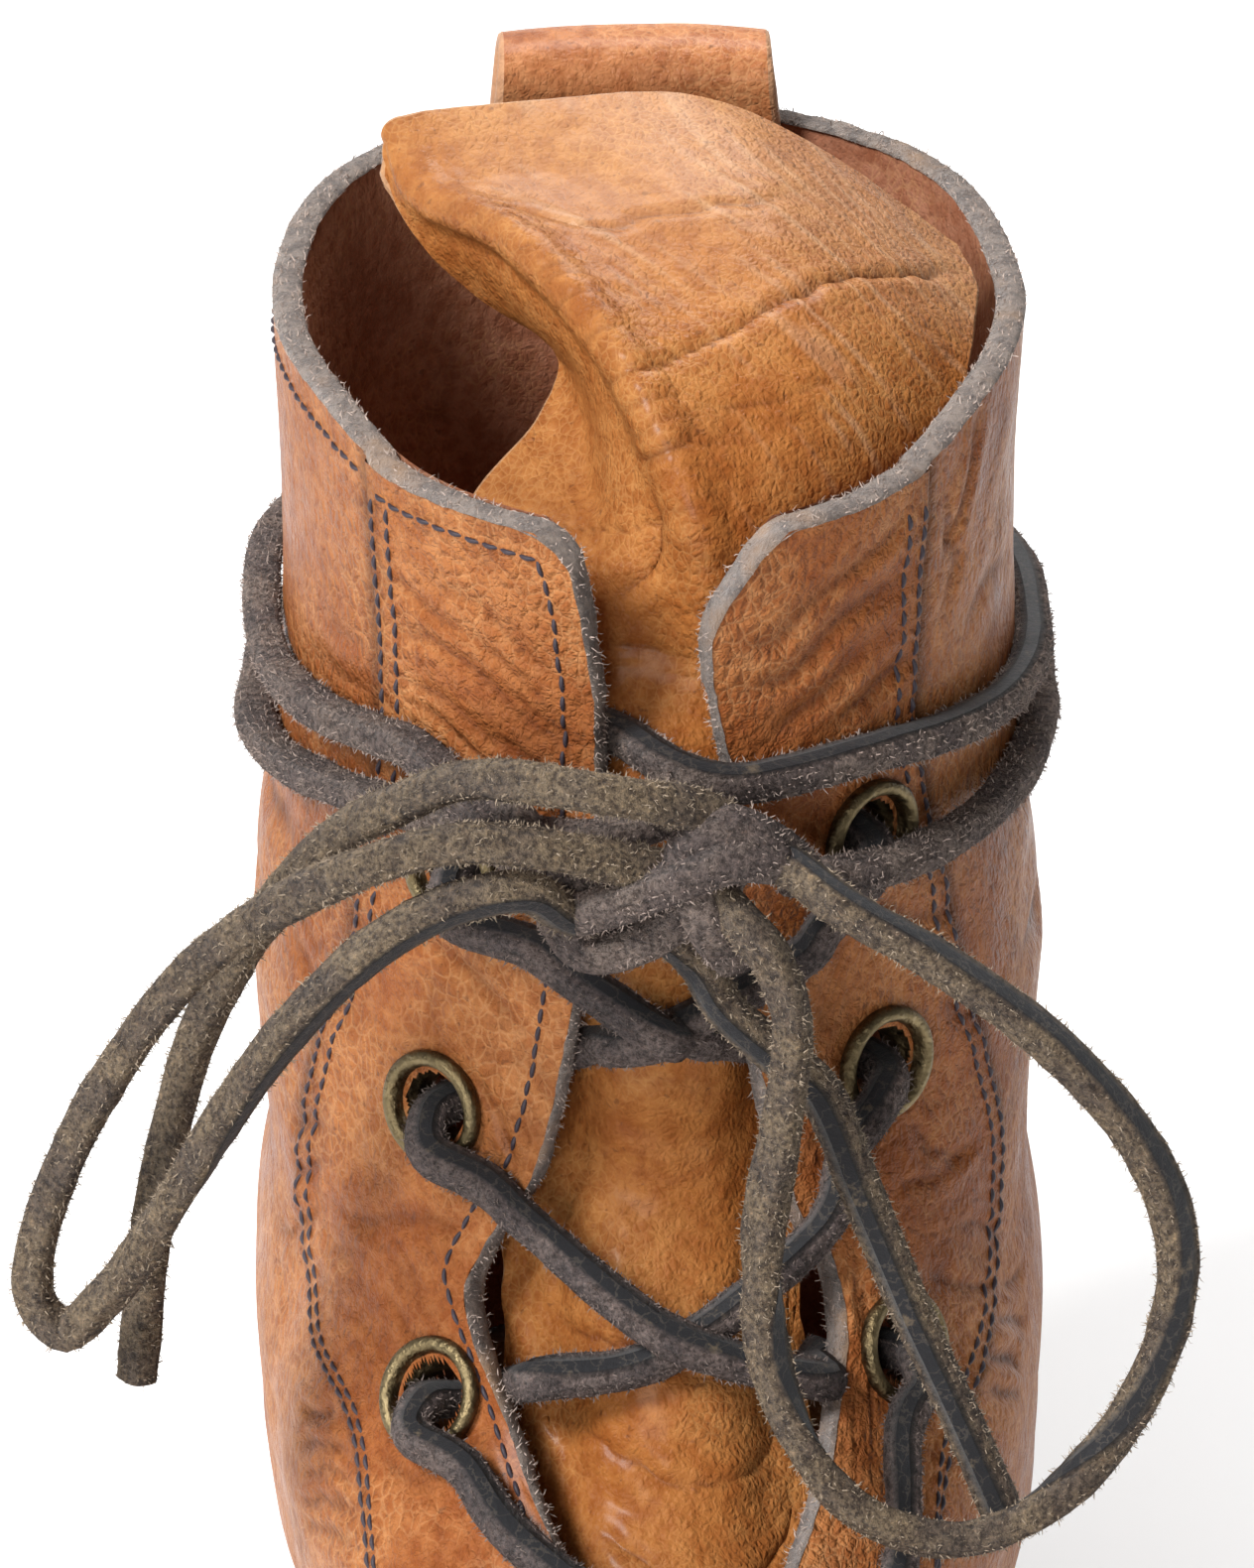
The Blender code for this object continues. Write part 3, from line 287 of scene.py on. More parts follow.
def suede(name, warm, dark):
    """Napped leather, mottled between a warm and a dark tone, with painted shade in the nap's pits and
    hollows, painted highlights on its tips, and a smooth black face.
    """
    look = Finish(name, Sheen_Weight=0.10, Sheen_Roughness=0.6, Specular_IOR_Level=0.15)
    blotch = look.spread(look.noise(150, 4, 0.6), 0.38, 0.62)
    nap = look.noise(1500, 5, 0.75)
    clump = look.noise(620, 4, 0.7)
    ground = look.mix(blotch, dark, warm)
    # Painted shade darkens the nap's pits and hollows, where the bump is low, and a painted highlight
    # lightens its tips, where the bump is high.
    shaded_pit = look.tinted(ground, (0.26, 0.22, 0.20))
    ground = look.mix(look.spread(nap, 0.38, 0.56), shaded_pit, ground)
    shaded_hollow = look.tinted(ground, (0.55, 0.50, 0.48))
    ground = look.mix(look.spread(clump, 0.36, 0.50), shaded_hollow, ground)
    tip = look.tinted(ground, (1.8, 1.72, 1.62))
    ground = look.mix(look.spread(nap, 0.56, 0.68), ground, tip)
    face = look.value("face")
    crack = look.spread(look.cells(420, look.shifted(look.place, 900, 0.0022)), 0.015, 0.045)
    scar = look.spread(look.noise(260, 4, 0.7), 0.60, 0.70)
    black = look.mix(crack, (0.040, 0.034, 0.030), (0.012, 0.012, 0.014))
    black = look.mix(scar, black, (0.10, 0.075, 0.05))
    look.set("Base Color", look.mix(face, ground, black))
    look.set("Roughness", look.sum(0.95, look.times(face, 0.45), "SUBTRACT"))
    off_the_face = look.sum(1.0, look.times(face, 0.9), "SUBTRACT")
    height = look.times(look.sum(nap, look.times(clump, 1.3)), off_the_face)
    look.set("Normal", look.bump(height, 0.0013))
    return look.material


def nap_material(name, colour):
    look = Finish(name, roughness=0.9)
    look.set("Base Color", look.mix(look.noise(500, 2), colour, tuple(1.7 * c for c in colour)))
    return look.material


def fuzz(name, roots, outward, along, length, material, seed):
    """Loose fibres: thin bent slivers that stand out from a surface at the roots."""
    dice = np.random.default_rng(seed)
    count = len(roots)
    any_way = 0.45 * dice.normal(size=(count, 3))
    lean = unit(outward + any_way + 0.7 * along * dice.normal(size=(count, 1)))
    bend = unit(np.cross(lean, dice.normal(size=(count, 3))))
    reach = length * dice.uniform(0.35, 1.0, (count, 1)) ** 1.6
    middle = roots + lean * reach * 0.55
    tip = roots + lean * reach * 0.9 + bend * reach * dice.uniform(0.1, 0.55, (count, 1))
    wide = unit(np.cross(lean, bend)) * NAP_WIDTH * dice.uniform(0.5, 1.0, (count, 1))
    narrow = 0.8 * wide
    points = np.stack([roots - wide, roots + wide, middle + narrow, middle - narrow, tip], axis=1)
    first = np.arange(count) * 5
    quads = np.stack([first, first + 1, first + 2, first + 3], axis=1).tolist()
    tips = np.stack([first + 3, first + 2, first + 4], axis=1).tolist()
    return piece(name, points.reshape(-1, 3), quads + tips, material)


def lace(name, points, facing, kind, seed, replaces=()):
    """A length of lace on a smooth line. facing: (share of the way, where the smooth face looks)."""
    material, nap = kind
    path = smooth_path(points, LACE_STEP)
    run = length_along(path)
    tangent = unit(np.gradient(path, axis=0))
    shares, ways = zip(*facing)
    wanted = np.stack([np.interp(run / run[-1], shares, way) for way in zip(*ways)], axis=1)
    front = unit(wanted - (wanted * tangent).sum(1, keepdims=True) * tangent)
    for _ in range(12):
        front[1:-1] = unit(front[1:-1] + 0.5 * (front[:-2] + front[2:]))
        front = unit(front - (front * tangent).sum(1, keepdims=True) * tangent)
    side = np.cross(tangent, front)
    turn = np.linspace(0, 2 * math.pi, LACE_SIDES, endpoint=False)
    corner = np.abs(np.cos(turn)) ** LACE_CORNER + np.abs(np.sin(turn)) ** LACE_CORNER
    radius = corner ** (-1 / LACE_CORNER)
    out = np.cos(turn) * radius
    up = np.sin(turn) * radius
    uneven = 1 + 0.09 * wander(run, 0.009, seed) + 0.04 * wander(run, 0.0025, seed + 1)
    wide = LACE_WIDTH / 2 * uneven
    uneven = 1 + 0.08 * wander(run, 0.007, seed + 2) + 0.03 * wander(run, 0.003, seed + 3)
    thick = LACE_THICKNESS / 2 * uneven
    along, around = np.meshgrid(run, turn, indexing="ij")
    rough = 0.00007 * ripple(0.002 * around, along, 0.0014, seed + 4)
    smooth_side = np.clip((up - 0.93) / 0.05, 0, 1)
    reach = 1 + rough * (1 - smooth_side) / (LACE_WIDTH / 2)
    ring = (
        path[:, None]
        + side[:, None] * (wide[:, None] * out * reach)[..., None]
        + front[:, None] * (thick[:, None] * up * reach)[..., None]
    )
    count = len(path)
    faces = grid_faces(count, LACE_SIDES, closed=True).tolist()
    first_ring = list(range(LACE_SIDES))
    last_ring = [(count - 1) * LACE_SIDES + k for k in first_ring]
    faces += [first_ring[::-1], last_ring]
    values = {"face": np.tile(smooth_side, count)}
    made = piece(name, ring.reshape(-1, 3), faces, material, replaces, values)
    dice = np.random.default_rng(seed + 5)
    hairs = int(run[-1] * 100 * NAP_EACH_CENTIMETRE)
    at = dice.integers(0, count, hairs)
    napped = np.flatnonzero(smooth_side < 0.3)
    where = napped[dice.integers(0, len(napped), hairs)]
    roots = ring[at, where] + tangent[at] * dice.uniform(-0.5, 0.5, (hairs, 1)) * LACE_STEP
    outward = unit(ring[at, where] - path[at])
    hair = fuzz(name + "_nap", roots, outward, tangent[at], NAP_LENGTH, nap, seed + 6)
    return made, hair, path


# One lace, worn to three tones: warm in the bow, browner round the shaft, dark where it is laced.
BOW_LACE = (
    suede("bow_suede", (0.250, 0.180, 0.108), (0.140, 0.098, 0.068)),
    nap_material("bow_nap", (0.20, 0.155, 0.11)),
)
LACED_LACE = (
    suede("lacing_suede", (0.190, 0.140, 0.124), (0.105, 0.076, 0.072)),
    nap_material("lacing_nap", (0.12, 0.092, 0.080)),
)
WOUND_LACE = (
    suede("wrap_suede", (0.250, 0.188, 0.155), (0.140, 0.102, 0.092)),
    nap_material("wrap_nap", (0.20, 0.155, 0.132)),
)

# The routes repeat the CAD part's, millimetres from the origin.
BOW = {
    "lace_loop_left": (
        (-3.5, -94.4, 168.4), (-13.4, -97.5, 172.5), (-22.2, -97, 172.7), (-32.1, -97, 169.5),
        (-40.1, -95, 164.0), (-47.2, -93, 157.2), (-53.5, -91, 148.0), (-60.0, -89.5, 136.0),
        (-64.8, -89, 123.5), (-66.0, -89.5, 115.0), (-62.8, -90.5, 111.0), (-59.0, -92, 115.5),
        (-55.5, -93, 120.7), (-50.0, -95, 131.5), (-44.6, -97, 142.2), (-38.4, -98, 152.0),
        (-30.3, -98, 161.0), (-22.3, -97.5, 165.9), (-14.5, -97, 167.2), (-9.5, -93.6, 162.3),
    ),
    "lace_end_left": (
        (2.5, -93.5, 174.1), (-7.5, -97.0, 178.3), (-19.2, -93, 177.8), (-27.1, -90, 173.3),
        (-34.2, -87, 167.2), (-40.5, -84, 157.4), (-43.7, -83, 152.2), (-48.1, -82, 142.2),
        (-50.9, -82, 132.7), (-53.9, -84, 118.3), (-55.9, -87, 102.4),
    ),
    "lace_loop_right": (
        (11.0, -93.4, 168.0), (17.0, -97.5, 165.1), (27.0, -98, 158.6), (38.0, -99, 149.8),
        (47.3, -100, 138.5), (51.6, -101, 127.2), (50.7, -103, 116.5), (45.9, -104, 105.1),
        (37.7, -107, 97.6), (28.5, -108, 94.9), (19.3, -108, 98.8), (13.2, -106, 106.1),
        (9.8, -102, 115.6), (9.4, -99, 126.8), (11.3, -97.8, 140.1), (12.2, -97.5, 151.4),
        (10.2, -97, 158.4), (7.8, -96.5, 161.8),
    ),
    "lace_end_right": (
        (2.8, -90.0, 154.9), (5.6, -90.5, 149.5), (10.7, -90.5, 143.9), (15.7, -91, 139.0),
        (19.9, -92, 127.9), (25.1, -94, 114.6), (31.3, -97, 100.5), (35.0, -99, 91.8),
    ),
}
# Which way the smooth black face looks along each of them.
BOW_FACING = {
    "lace_loop_left": (
        (0.0, (0, 1, -0.4)), (0.40, (0.3, 0.8, -0.4)), (0.50, (0.5, 0.9, 0.2)),
        (0.62, (0.9, 0.2, -0.5)), (0.72, (0.5, -0.7, -0.35)), (0.93, (0.3, -0.8, -0.35)),
        (1.0, (0.2, -0.7, -0.6)),
    ),
    "lace_end_left": ((0.0, (0, 0.8, -0.6)), (1.0, (0.8, 0.6, -0.2))),
    "lace_loop_right": (
        (0.0, (0.2, -0.1, 1.0)), (0.22, (0.5, -0.5, 0.85)), (0.36, (0.5, -0.8, 0.5)),
        (0.44, (-0.3, -0.9, 0.2)), (0.52, (-1, 0.2, 0)), (0.64, (0, 0.6, 0.9)),
        (0.72, (0.3, -0.4, 0.8)), (0.80, (0.6, 0.7, 0)), (1.0, (0.2, 1, 0)),
    ),
    "lace_end_right": (
        (0.0, (-0.4, -0.6, -0.5)), (0.3, (-0.2, -0.95, 0.1)), (1.0, (-0.15, -0.95, 0.25)),
    ),
}
# How each of them goes on into the knot: a point before its first and, for a loop, one after
# its last.
IN_THE_KNOT = {
    "lace_loop_left": ((4.0, -90.5, 165.0), (-2.5, -91.0, 163.5)),
    "lace_end_left": ((9.0, -90.0, 168.5),),
    "lace_loop_right": ((4.0, -92.5, 169.0), (3.0, -92.5, 166.0)),
    "lace_end_right": ((-2.0, -91.0, 160.0),),
}

for order, (name, route) in enumerate(BOW.items()):
    inside = IN_THE_KNOT[name]
    metres = np.array([inside[0], *route, *inside[1:]]) / 1000
    made, hair, path = lace(f"{name}_suede", metres, BOW_FACING[name], BOW_LACE, 10 * order, (name,))

# The boot's form. The upper was pulled over a last: a foot, and a shaft that runs into it
# round the ankle. Everything sewn or laced on it below is placed by a level and a girth.
SOLE_LENGTH = 0.286
BALL_WIDTH = 0.092
INSTEP_HEIGHT = 0.076
HEEL_HEIGHT = 0.024
HEEL_LENGTH = 0.064
TOE_SPRING = 0.009
OUTSOLE_THICKNESS = 0.006
WELT_THICKNESS = 0.004
WELT_OVERHANG = 0.004
COLLAR_HEIGHT = 0.200
COLLAR_WIDTH = 0.080
COLLAR_DEPTH = 0.102
THROAT_LENGTH = 0.172
WALL = 0.0026
PANEL_STEP = 0.0009
HEEL_BACK_Y = HEEL_LENGTH / 2
LAST_BACK_Y = HEEL_BACK_Y - WELT_OVERHANG
LAST_LENGTH = SOLE_LENGTH - 2 * WELT_OVERHANG
AXIS_Y = LAST_BACK_Y - 0.006 - COLLAR_DEPTH / 2
LAST = {
    "along": (0.00, 0.12, 0.22, 0.36, 0.50, 0.62, 0.71, 0.80, 0.90, 1.00),
    "middle": (0.000, 0.000, -0.005, -0.025, -0.030, -0.015, 0.005, 0.030, 0.060, 0.085),
    "half": (0.350, 0.350, 0.355, 0.375, 0.430, 0.480, 0.500, 0.480, 0.420, 0.330),
    "crown": (0.60, 0.62, 0.70, 0.95, 0.92, 0.77, 0.665, 0.595, 0.55, 0.50),
}
HEEL_ROUND = 0.11
TOE_ROUND = 0.17
LAST_SQUARENESS = 2.35
LAST_WIDEST = 0.13
SHAFT = {
    "up": (0.10, 0.17, 0.24, 0.30, 0.40, 0.50, 0.60, 0.70, 0.80, 0.90, 1.00, 1.15),
    "front": (0.55, 0.60, 0.64, 0.66, 0.64, 0.56, 0.515, 0.495, 0.487, 0.49, 0.500, 0.510),
    "back": (0.550, 0.555, 0.560, 0.560, 0.550, 0.525, 0.495, 0.475, 0.475, 0.485, 0.500, 0.515),
    "half": (0.36, 0.40, 0.50, 0.555, 0.565, 0.540, 0.553, 0.53, 0.50, 0.495, 0.500, 0.505),
    "form": (2.3, 2.3, 2.5, 2.6, 2.5, 2.2, 2.0, 1.90, 1.88, 1.88, 1.88, 1.88),
}
SHAFT_WIDEST = 0.03
BACK_FORM = 2.45
ANKLE_BLEND = 0.022
BLEND_FLOOR = 0.20
BLEND_TOP = 0.46
RING_SINK = 0.8
COLLAR = {
    "turn": (0.00, 0.18, 0.32, 0.55, 0.80, 1.00),
    "rise": (0.985, 0.985, 0.995, 1.000, 1.000, 1.005),
}
TREAD_START = 0.60
TREAD_END = 0.76


def along_table(table, column, where):
    """A smooth curve through a table's column, with no overshoot, read at where."""
    names = list(table)
    xs = np.asarray(table[names[0]], float)
    ys = np.asarray(table[column], float)
    step = np.diff(xs)
    slope = np.diff(ys) / step
    tangent = np.zeros(len(ys))
    tangent[0], tangent[-1] = slope[0], slope[-1]
    same_way = slope[:-1] * slope[1:] > 0
    total = np.where(same_way, slope[:-1] + slope[1:], 1.0)
    tangent[1:-1] = np.where(same_way, 2 * slope[:-1] * slope[1:] / total, 0.0)
    where = np.clip(np.asarray(where, float), xs[0], xs[-1])
    i = np.clip(np.searchsorted(xs, where, side="right") - 1, 0, len(step) - 1)
    t = (where - xs[i]) / step[i]
    return (
        ys[i] * (1 + 2 * t) * (1 - t) ** 2
        + tangent[i] * step[i] * t * (1 - t) ** 2
        + ys[i + 1] * t * t * (3 - 2 * t)
        + tangent[i + 1] * step[i] * t * t * (t - 1)
    )


def ease(low, high, value):
    """0 below low, 1 above high and a smooth step between."""
    t = np.clip((np.asarray(value, float) - low) / (high - low), 0, 1)
    return t * t * (3 - 2 * t)


def sole_underside(y):
    share = (HEEL_BACK_Y - np.asarray(y, float)) / SOLE_LENGTH
    waist = HEEL_HEIGHT * (1 - ease(HEEL_LENGTH / SOLE_LENGTH + 0.01, TREAD_START, share))
    toe = np.clip((share - TREAD_END) / (1 - TREAD_END), 0, 1.1)
    return waist + TOE_SPRING * toe**2


def welt_top(y):
    return sole_underside(y) + OUTSOLE_THICKNESS + WELT_THICKNESS


def round_end(distance, reach):
    """Quarter ellipse: 0 at the tip, 1 from reach on."""
    t = np.clip(distance / reach, 0, 1)
    return np.sqrt(np.maximum(1 - (1 - t) ** 2, 0))


def foot_half_width(share, grow=0.0):
    g = grow / LAST_LENGTH
    half = along_table(LAST, "half", share) * BALL_WIDTH + grow
    return half * round_end(share + g, HEEL_ROUND + g) * round_end(1 + g - share, TOE_ROUND + g)


def foot_field(x, y, z):
    """Below 0 inside the foot of the last, about the distance outside it."""
    share = (LAST_BACK_Y - y) / LAST_LENGTH
    half = np.maximum(foot_half_width(share), 0.0004)
    toe = round_end(1 - share, TOE_ROUND)
    crown = along_table(LAST, "crown", share) * INSTEP_HEIGHT * (0.35 + 0.65 * toe)
    widest = LAST_WIDEST * crown
    up = z - welt_top(y) - widest
    height = np.where(up > 0, up / (crown - widest), -up / (3 * widest))
    across = np.abs(x - along_table(LAST, "middle", share) * BALL_WIDTH) / half
    n = LAST_SQUARENESS
    scale = np.minimum(along_table(LAST, "half", share) * BALL_WIDTH, crown)
    beyond = np.maximum(-share, share - 1) * LAST_LENGTH
    return np.maximum(((across**n + height**n) ** (1 / n) - 1) * scale, beyond)


def shaft_field(x, y, z):
    """Below 0 inside the shaft, about the distance outside it."""
    up = z / COLLAR_HEIGHT
    half = along_table(SHAFT, "half", up) * COLLAR_WIDTH
    front = along_table(SHAFT, "front", up) * COLLAR_DEPTH + SHAFT_WIDEST * COLLAR_DEPTH
    back = along_table(SHAFT, "back", up) * COLLAR_DEPTH - SHAFT_WIDEST * COLLAR_DEPTH
    ahead = AXIS_Y + SHAFT_WIDEST * COLLAR_DEPTH - y
    n = np.where(ahead > 0, along_table(SHAFT, "form", up), BACK_FORM)
    ring = ((np.abs(x) / half) ** n + (np.abs(ahead) / np.where(ahead > 0, front, back)) ** n) ** (1 / n)
    return (ring - 1) * half


def boot_field(x, y, z):
    """The foot and the shaft, run into each other round the ankle."""
    foot = foot_field(x, y, z)
    shaft = shaft_field(x, y, z)
    ahead = ease(0.0, 0.45 * COLLAR_DEPTH, AXIS_Y - y)
    width = 1e-5 + ANKLE_BLEND * ahead * ease(BLEND_FLOOR, BLEND_TOP, z / COLLAR_HEIGHT)
    share = np.clip(0.5 + 0.5 * (shaft - foot) / width, 0, 1)
    return shaft * (1 - share) + foot * share - width * share * (1 - share)


class Skin:
    """The boot's outer form as rings, from the welt (level 0) to the collar (level 1).

    A place on it is a level and a girth, the signed distance along that ring from the
    front middle line. Girths to the inner side are positive.
    """

    TURNS = 241
    RAYS = 300
    LEVELS = 260
    NEAR = 0.0015

    def __init__(self):
        share = np.linspace(-1, 1, self.TURNS)
        turns = math.pi * np.sign(share) * np.abs(share) ** 1.5
        self.turns = turns
        tilt = np.radians(np.linspace(-66, 87.5, self.RAYS))
        lead = np.maximum(np.cos(turns), 0) ** 2
        pivot_reach = (0.07 + 0.20 * lead) * COLLAR_DEPTH
        pivot_height = 0.31 * COLLAR_HEIGHT
        near = np.zeros((self.TURNS, self.RAYS))
        far = np.full_like(near, 1.2 * SOLE_LENGTH)
        for _ in range(26):
            middle = (near + far) / 2
            reach = pivot_reach[:, None] + middle * np.cos(tilt)
            z = pivot_height + middle * np.sin(tilt)
            x = np.sin(turns)[:, None] * reach
            y = AXIS_Y - np.cos(turns)[:, None] * reach
            inside = boot_field(x, y, z) < 0
            near = np.where(inside, middle, near)
            far = np.where(inside, far, middle)
        points = np.stack([x, y, z], axis=2)
        top = along_table(COLLAR, "rise", np.abs(turns) / math.pi) * COLLAR_HEIGHT
        self.levels = np.linspace(0, 1, self.LEVELS)
        self.rings = np.empty((self.LEVELS, self.TURNS, 3))
        for k in range(self.TURNS):
            line = self.between_welt_and_collar(points[k], top[k])
            run = length_along(line)
            if k == self.TURNS // 2:
                self.front_length = run[-1]
            sink = 1 + RING_SINK * float(ease(0, math.pi / 3, abs(turns[k])))
            for axis in range(3):
                self.rings[:, k, axis] = np.interp(self.levels**sink * run[-1], run, line[:, axis])
        for _ in range(3):
            self.rings[1:-1] += 0.5 * ((self.rings[:-2] + self.rings[2:]) / 2 - self.rings[1:-1])
        steps = np.linalg.norm(np.diff(self.rings, axis=1), axis=2)
        girth = np.concatenate([np.zeros((self.LEVELS, 1)), np.cumsum(steps, axis=1)], axis=1)
        self.girth = girth - girth[:, self.TURNS // 2 : self.TURNS // 2 + 1]

    @staticmethod
    def between_welt_and_collar(line, top):
        """The part of one upright line of points between the welt's face and the collar."""
        above = line[:, 2] - welt_top(line[:, 1])
        start = int(np.max(np.nonzero(above < 0)[0]))
        t = above[start] / (above[start] - above[start + 1])
        first = line[start] + t * (line[start + 1] - line[start])
        end = int(np.argmax(line[:, 2] > top))
        t = (top - line[end - 1, 2]) / (line[end, 2] - line[end - 1, 2])
        last = line[end - 1] + t * (line[end] - line[end - 1])
        return np.vstack([first, line[start + 1 : end], last])

    def level_down(self, down):
        """The level that is this far down the front from the collar."""
        return 1 - np.asarray(down, float) / self.front_length

    def back_girths(self, level):
        """The girths at which this level's ring meets itself at the back."""
        place = float(np.clip(level, 0, 1)) * (self.LEVELS - 1)
        low = min(int(place), self.LEVELS - 2)
        ends = self.girth[:, [0, -1]]
        return ends[low] * (1 - place + low) + ends[low + 1] * (place - low)

    def ring_row(self, level, girths):
        """Points at these girths on one level's ring."""
        place = float(np.clip(level, 0, 1)) * (self.LEVELS - 1)
        low = min(int(place), self.LEVELS - 2)
        outer, inner = self.back_girths(level)
        girths = np.asarray(girths, float)
        found = []
        for ring, girth in zip(self.rings[low : low + 2], self.girth[low : low + 2]):
            near = girths * np.where(girths < 0, girth[0] / outer, girth[-1] / inner)
            found.append(np.stack([np.interp(near, girth, line) for line in ring.T], axis=1))
        return found[0] * (1 - place + low) + found[1] * (place - low)

    def grid(self, levels, girths):
        """Points and outward normals for rows of girths, one row for each level."""
        rise = self.NEAR / self.front_length
        points, around, upward = [], [], []
        for level, row in zip(levels, girths):
            above, below = min(level + rise, 1), max(level - rise, 0)
            points.append(self.ring_row(level, row))
            around.append(self.ring_row(level, row + 0.0012) - self.ring_row(level, row - 0.0012))
            upward.append(self.ring_row(above, row) - self.ring_row(below, row))
        return np.stack(points), unit(np.cross(np.stack(around), np.stack(upward)))

    def place(self, level, girth):
        """(point, outward normal, direction round, direction up) at one place."""
        d = self.NEAR
        up = d / self.front_length
        point = self.ring_row(level, [girth])[0]
        around = self.ring_row(level, [girth + d])[0] - self.ring_row(level, [girth - d])[0]
        upward = self.ring_row(min(level + up, 1), [girth])[0] - self.ring_row(level - up, [girth])[0]
        normal = unit(np.cross(around, upward))
        around = unit(around)
        return point, normal, around, np.cross(normal, around)

    def at_height(self, z, turn):
        """(point, outward normal) where the skin is z high, at a turn from the front."""
        k = float(np.interp(turn, self.turns, np.arange(self.TURNS)))
        low = min(int(k), self.TURNS - 2)
        line = self.rings[:, low] * (low + 1 - k) + self.rings[:, low + 1] * (k - low)
        shaft = line[self.LEVELS // 3 :]
        point = np.array([np.interp(z, shaft[:, 2], shaft[:, a]) for a in range(3)])
        level = np.interp(z, shaft[:, 2], self.levels[self.LEVELS // 3 :])
        girth = self.girth[int(level * (self.LEVELS - 1)), low]
        return point, self.place(level, girth)[1]


SKIN = Skin()

# The leather upper. Two quarters of waxed cognac calf wrap the heel; the front panel, vamp and
# eyelet facing in one, is sewn over them with two rows of dark thread, so its edge stands
# proud. Years of wear have left folds at the ankle, dark patches and pale veins.
THROAT = {
    "down": (0, 0.02, 0.07, 0.12, 0.17, 0.25, 0.32, 0.39, 0.47, 0.55, 0.60, 0.65, 0.71, 0.80, 0.90, 1),
    "outer_edge": (
        *(0.165, 0.12, 0.10, 0.088, 0.088, 0.097, 0.118, 0.145),
        *(0.193, 0.295, 0.345, 0.24, 0.15, 0.11, 0.07, 0.0),
    ),
    "inner_edge": (
        *(0.155, 0.11, 0.055, 0.068, 0.092, 0.10, 0.113, 0.14),
        *(0.19, 0.31, 0.345, 0.21, 0.14, 0.10, 0.06, 0.0),
    ),
    "outer_seam": (
        *(0.46, 0.458, 0.455, 0.45, 0.448, 0.47, 0.505, 0.55),
        *(0.64, 0.73, 0.785, 0.82, 0.82, 0.70, 0.67, 0.66),
    ),
    "inner_seam": (
        *(0.41, 0.41, 0.405, 0.405, 0.407, 0.46, 0.525, 0.58),
        *(0.68, 0.79, 0.84, 0.875, 0.89, 0.88, 0.84, 0.79),
    ),
}
SEAM_AT_WELT = 1.05
EYELET_ROWS = {
    "row": (1, 2, 3, 4),
    "outer_down": (0.285, 0.485, 0.687, 0.870),
    "outer_girth": (0.300, 0.373, 0.440, 0.400),
    "inner_down": (0.275, 0.476, 0.721, 0.890),
    "inner_girth": (0.330, 0.437, 0.640, 0.500),
}
SIDES = {-1: "outer", 1: "inner"}
EYELET_HOLE_RADIUS = 0.0033
PANEL_ROWS = 430
PANEL_COLUMNS = 100
QUARTER_ROWS = 330
QUARTER_COLUMNS = 150
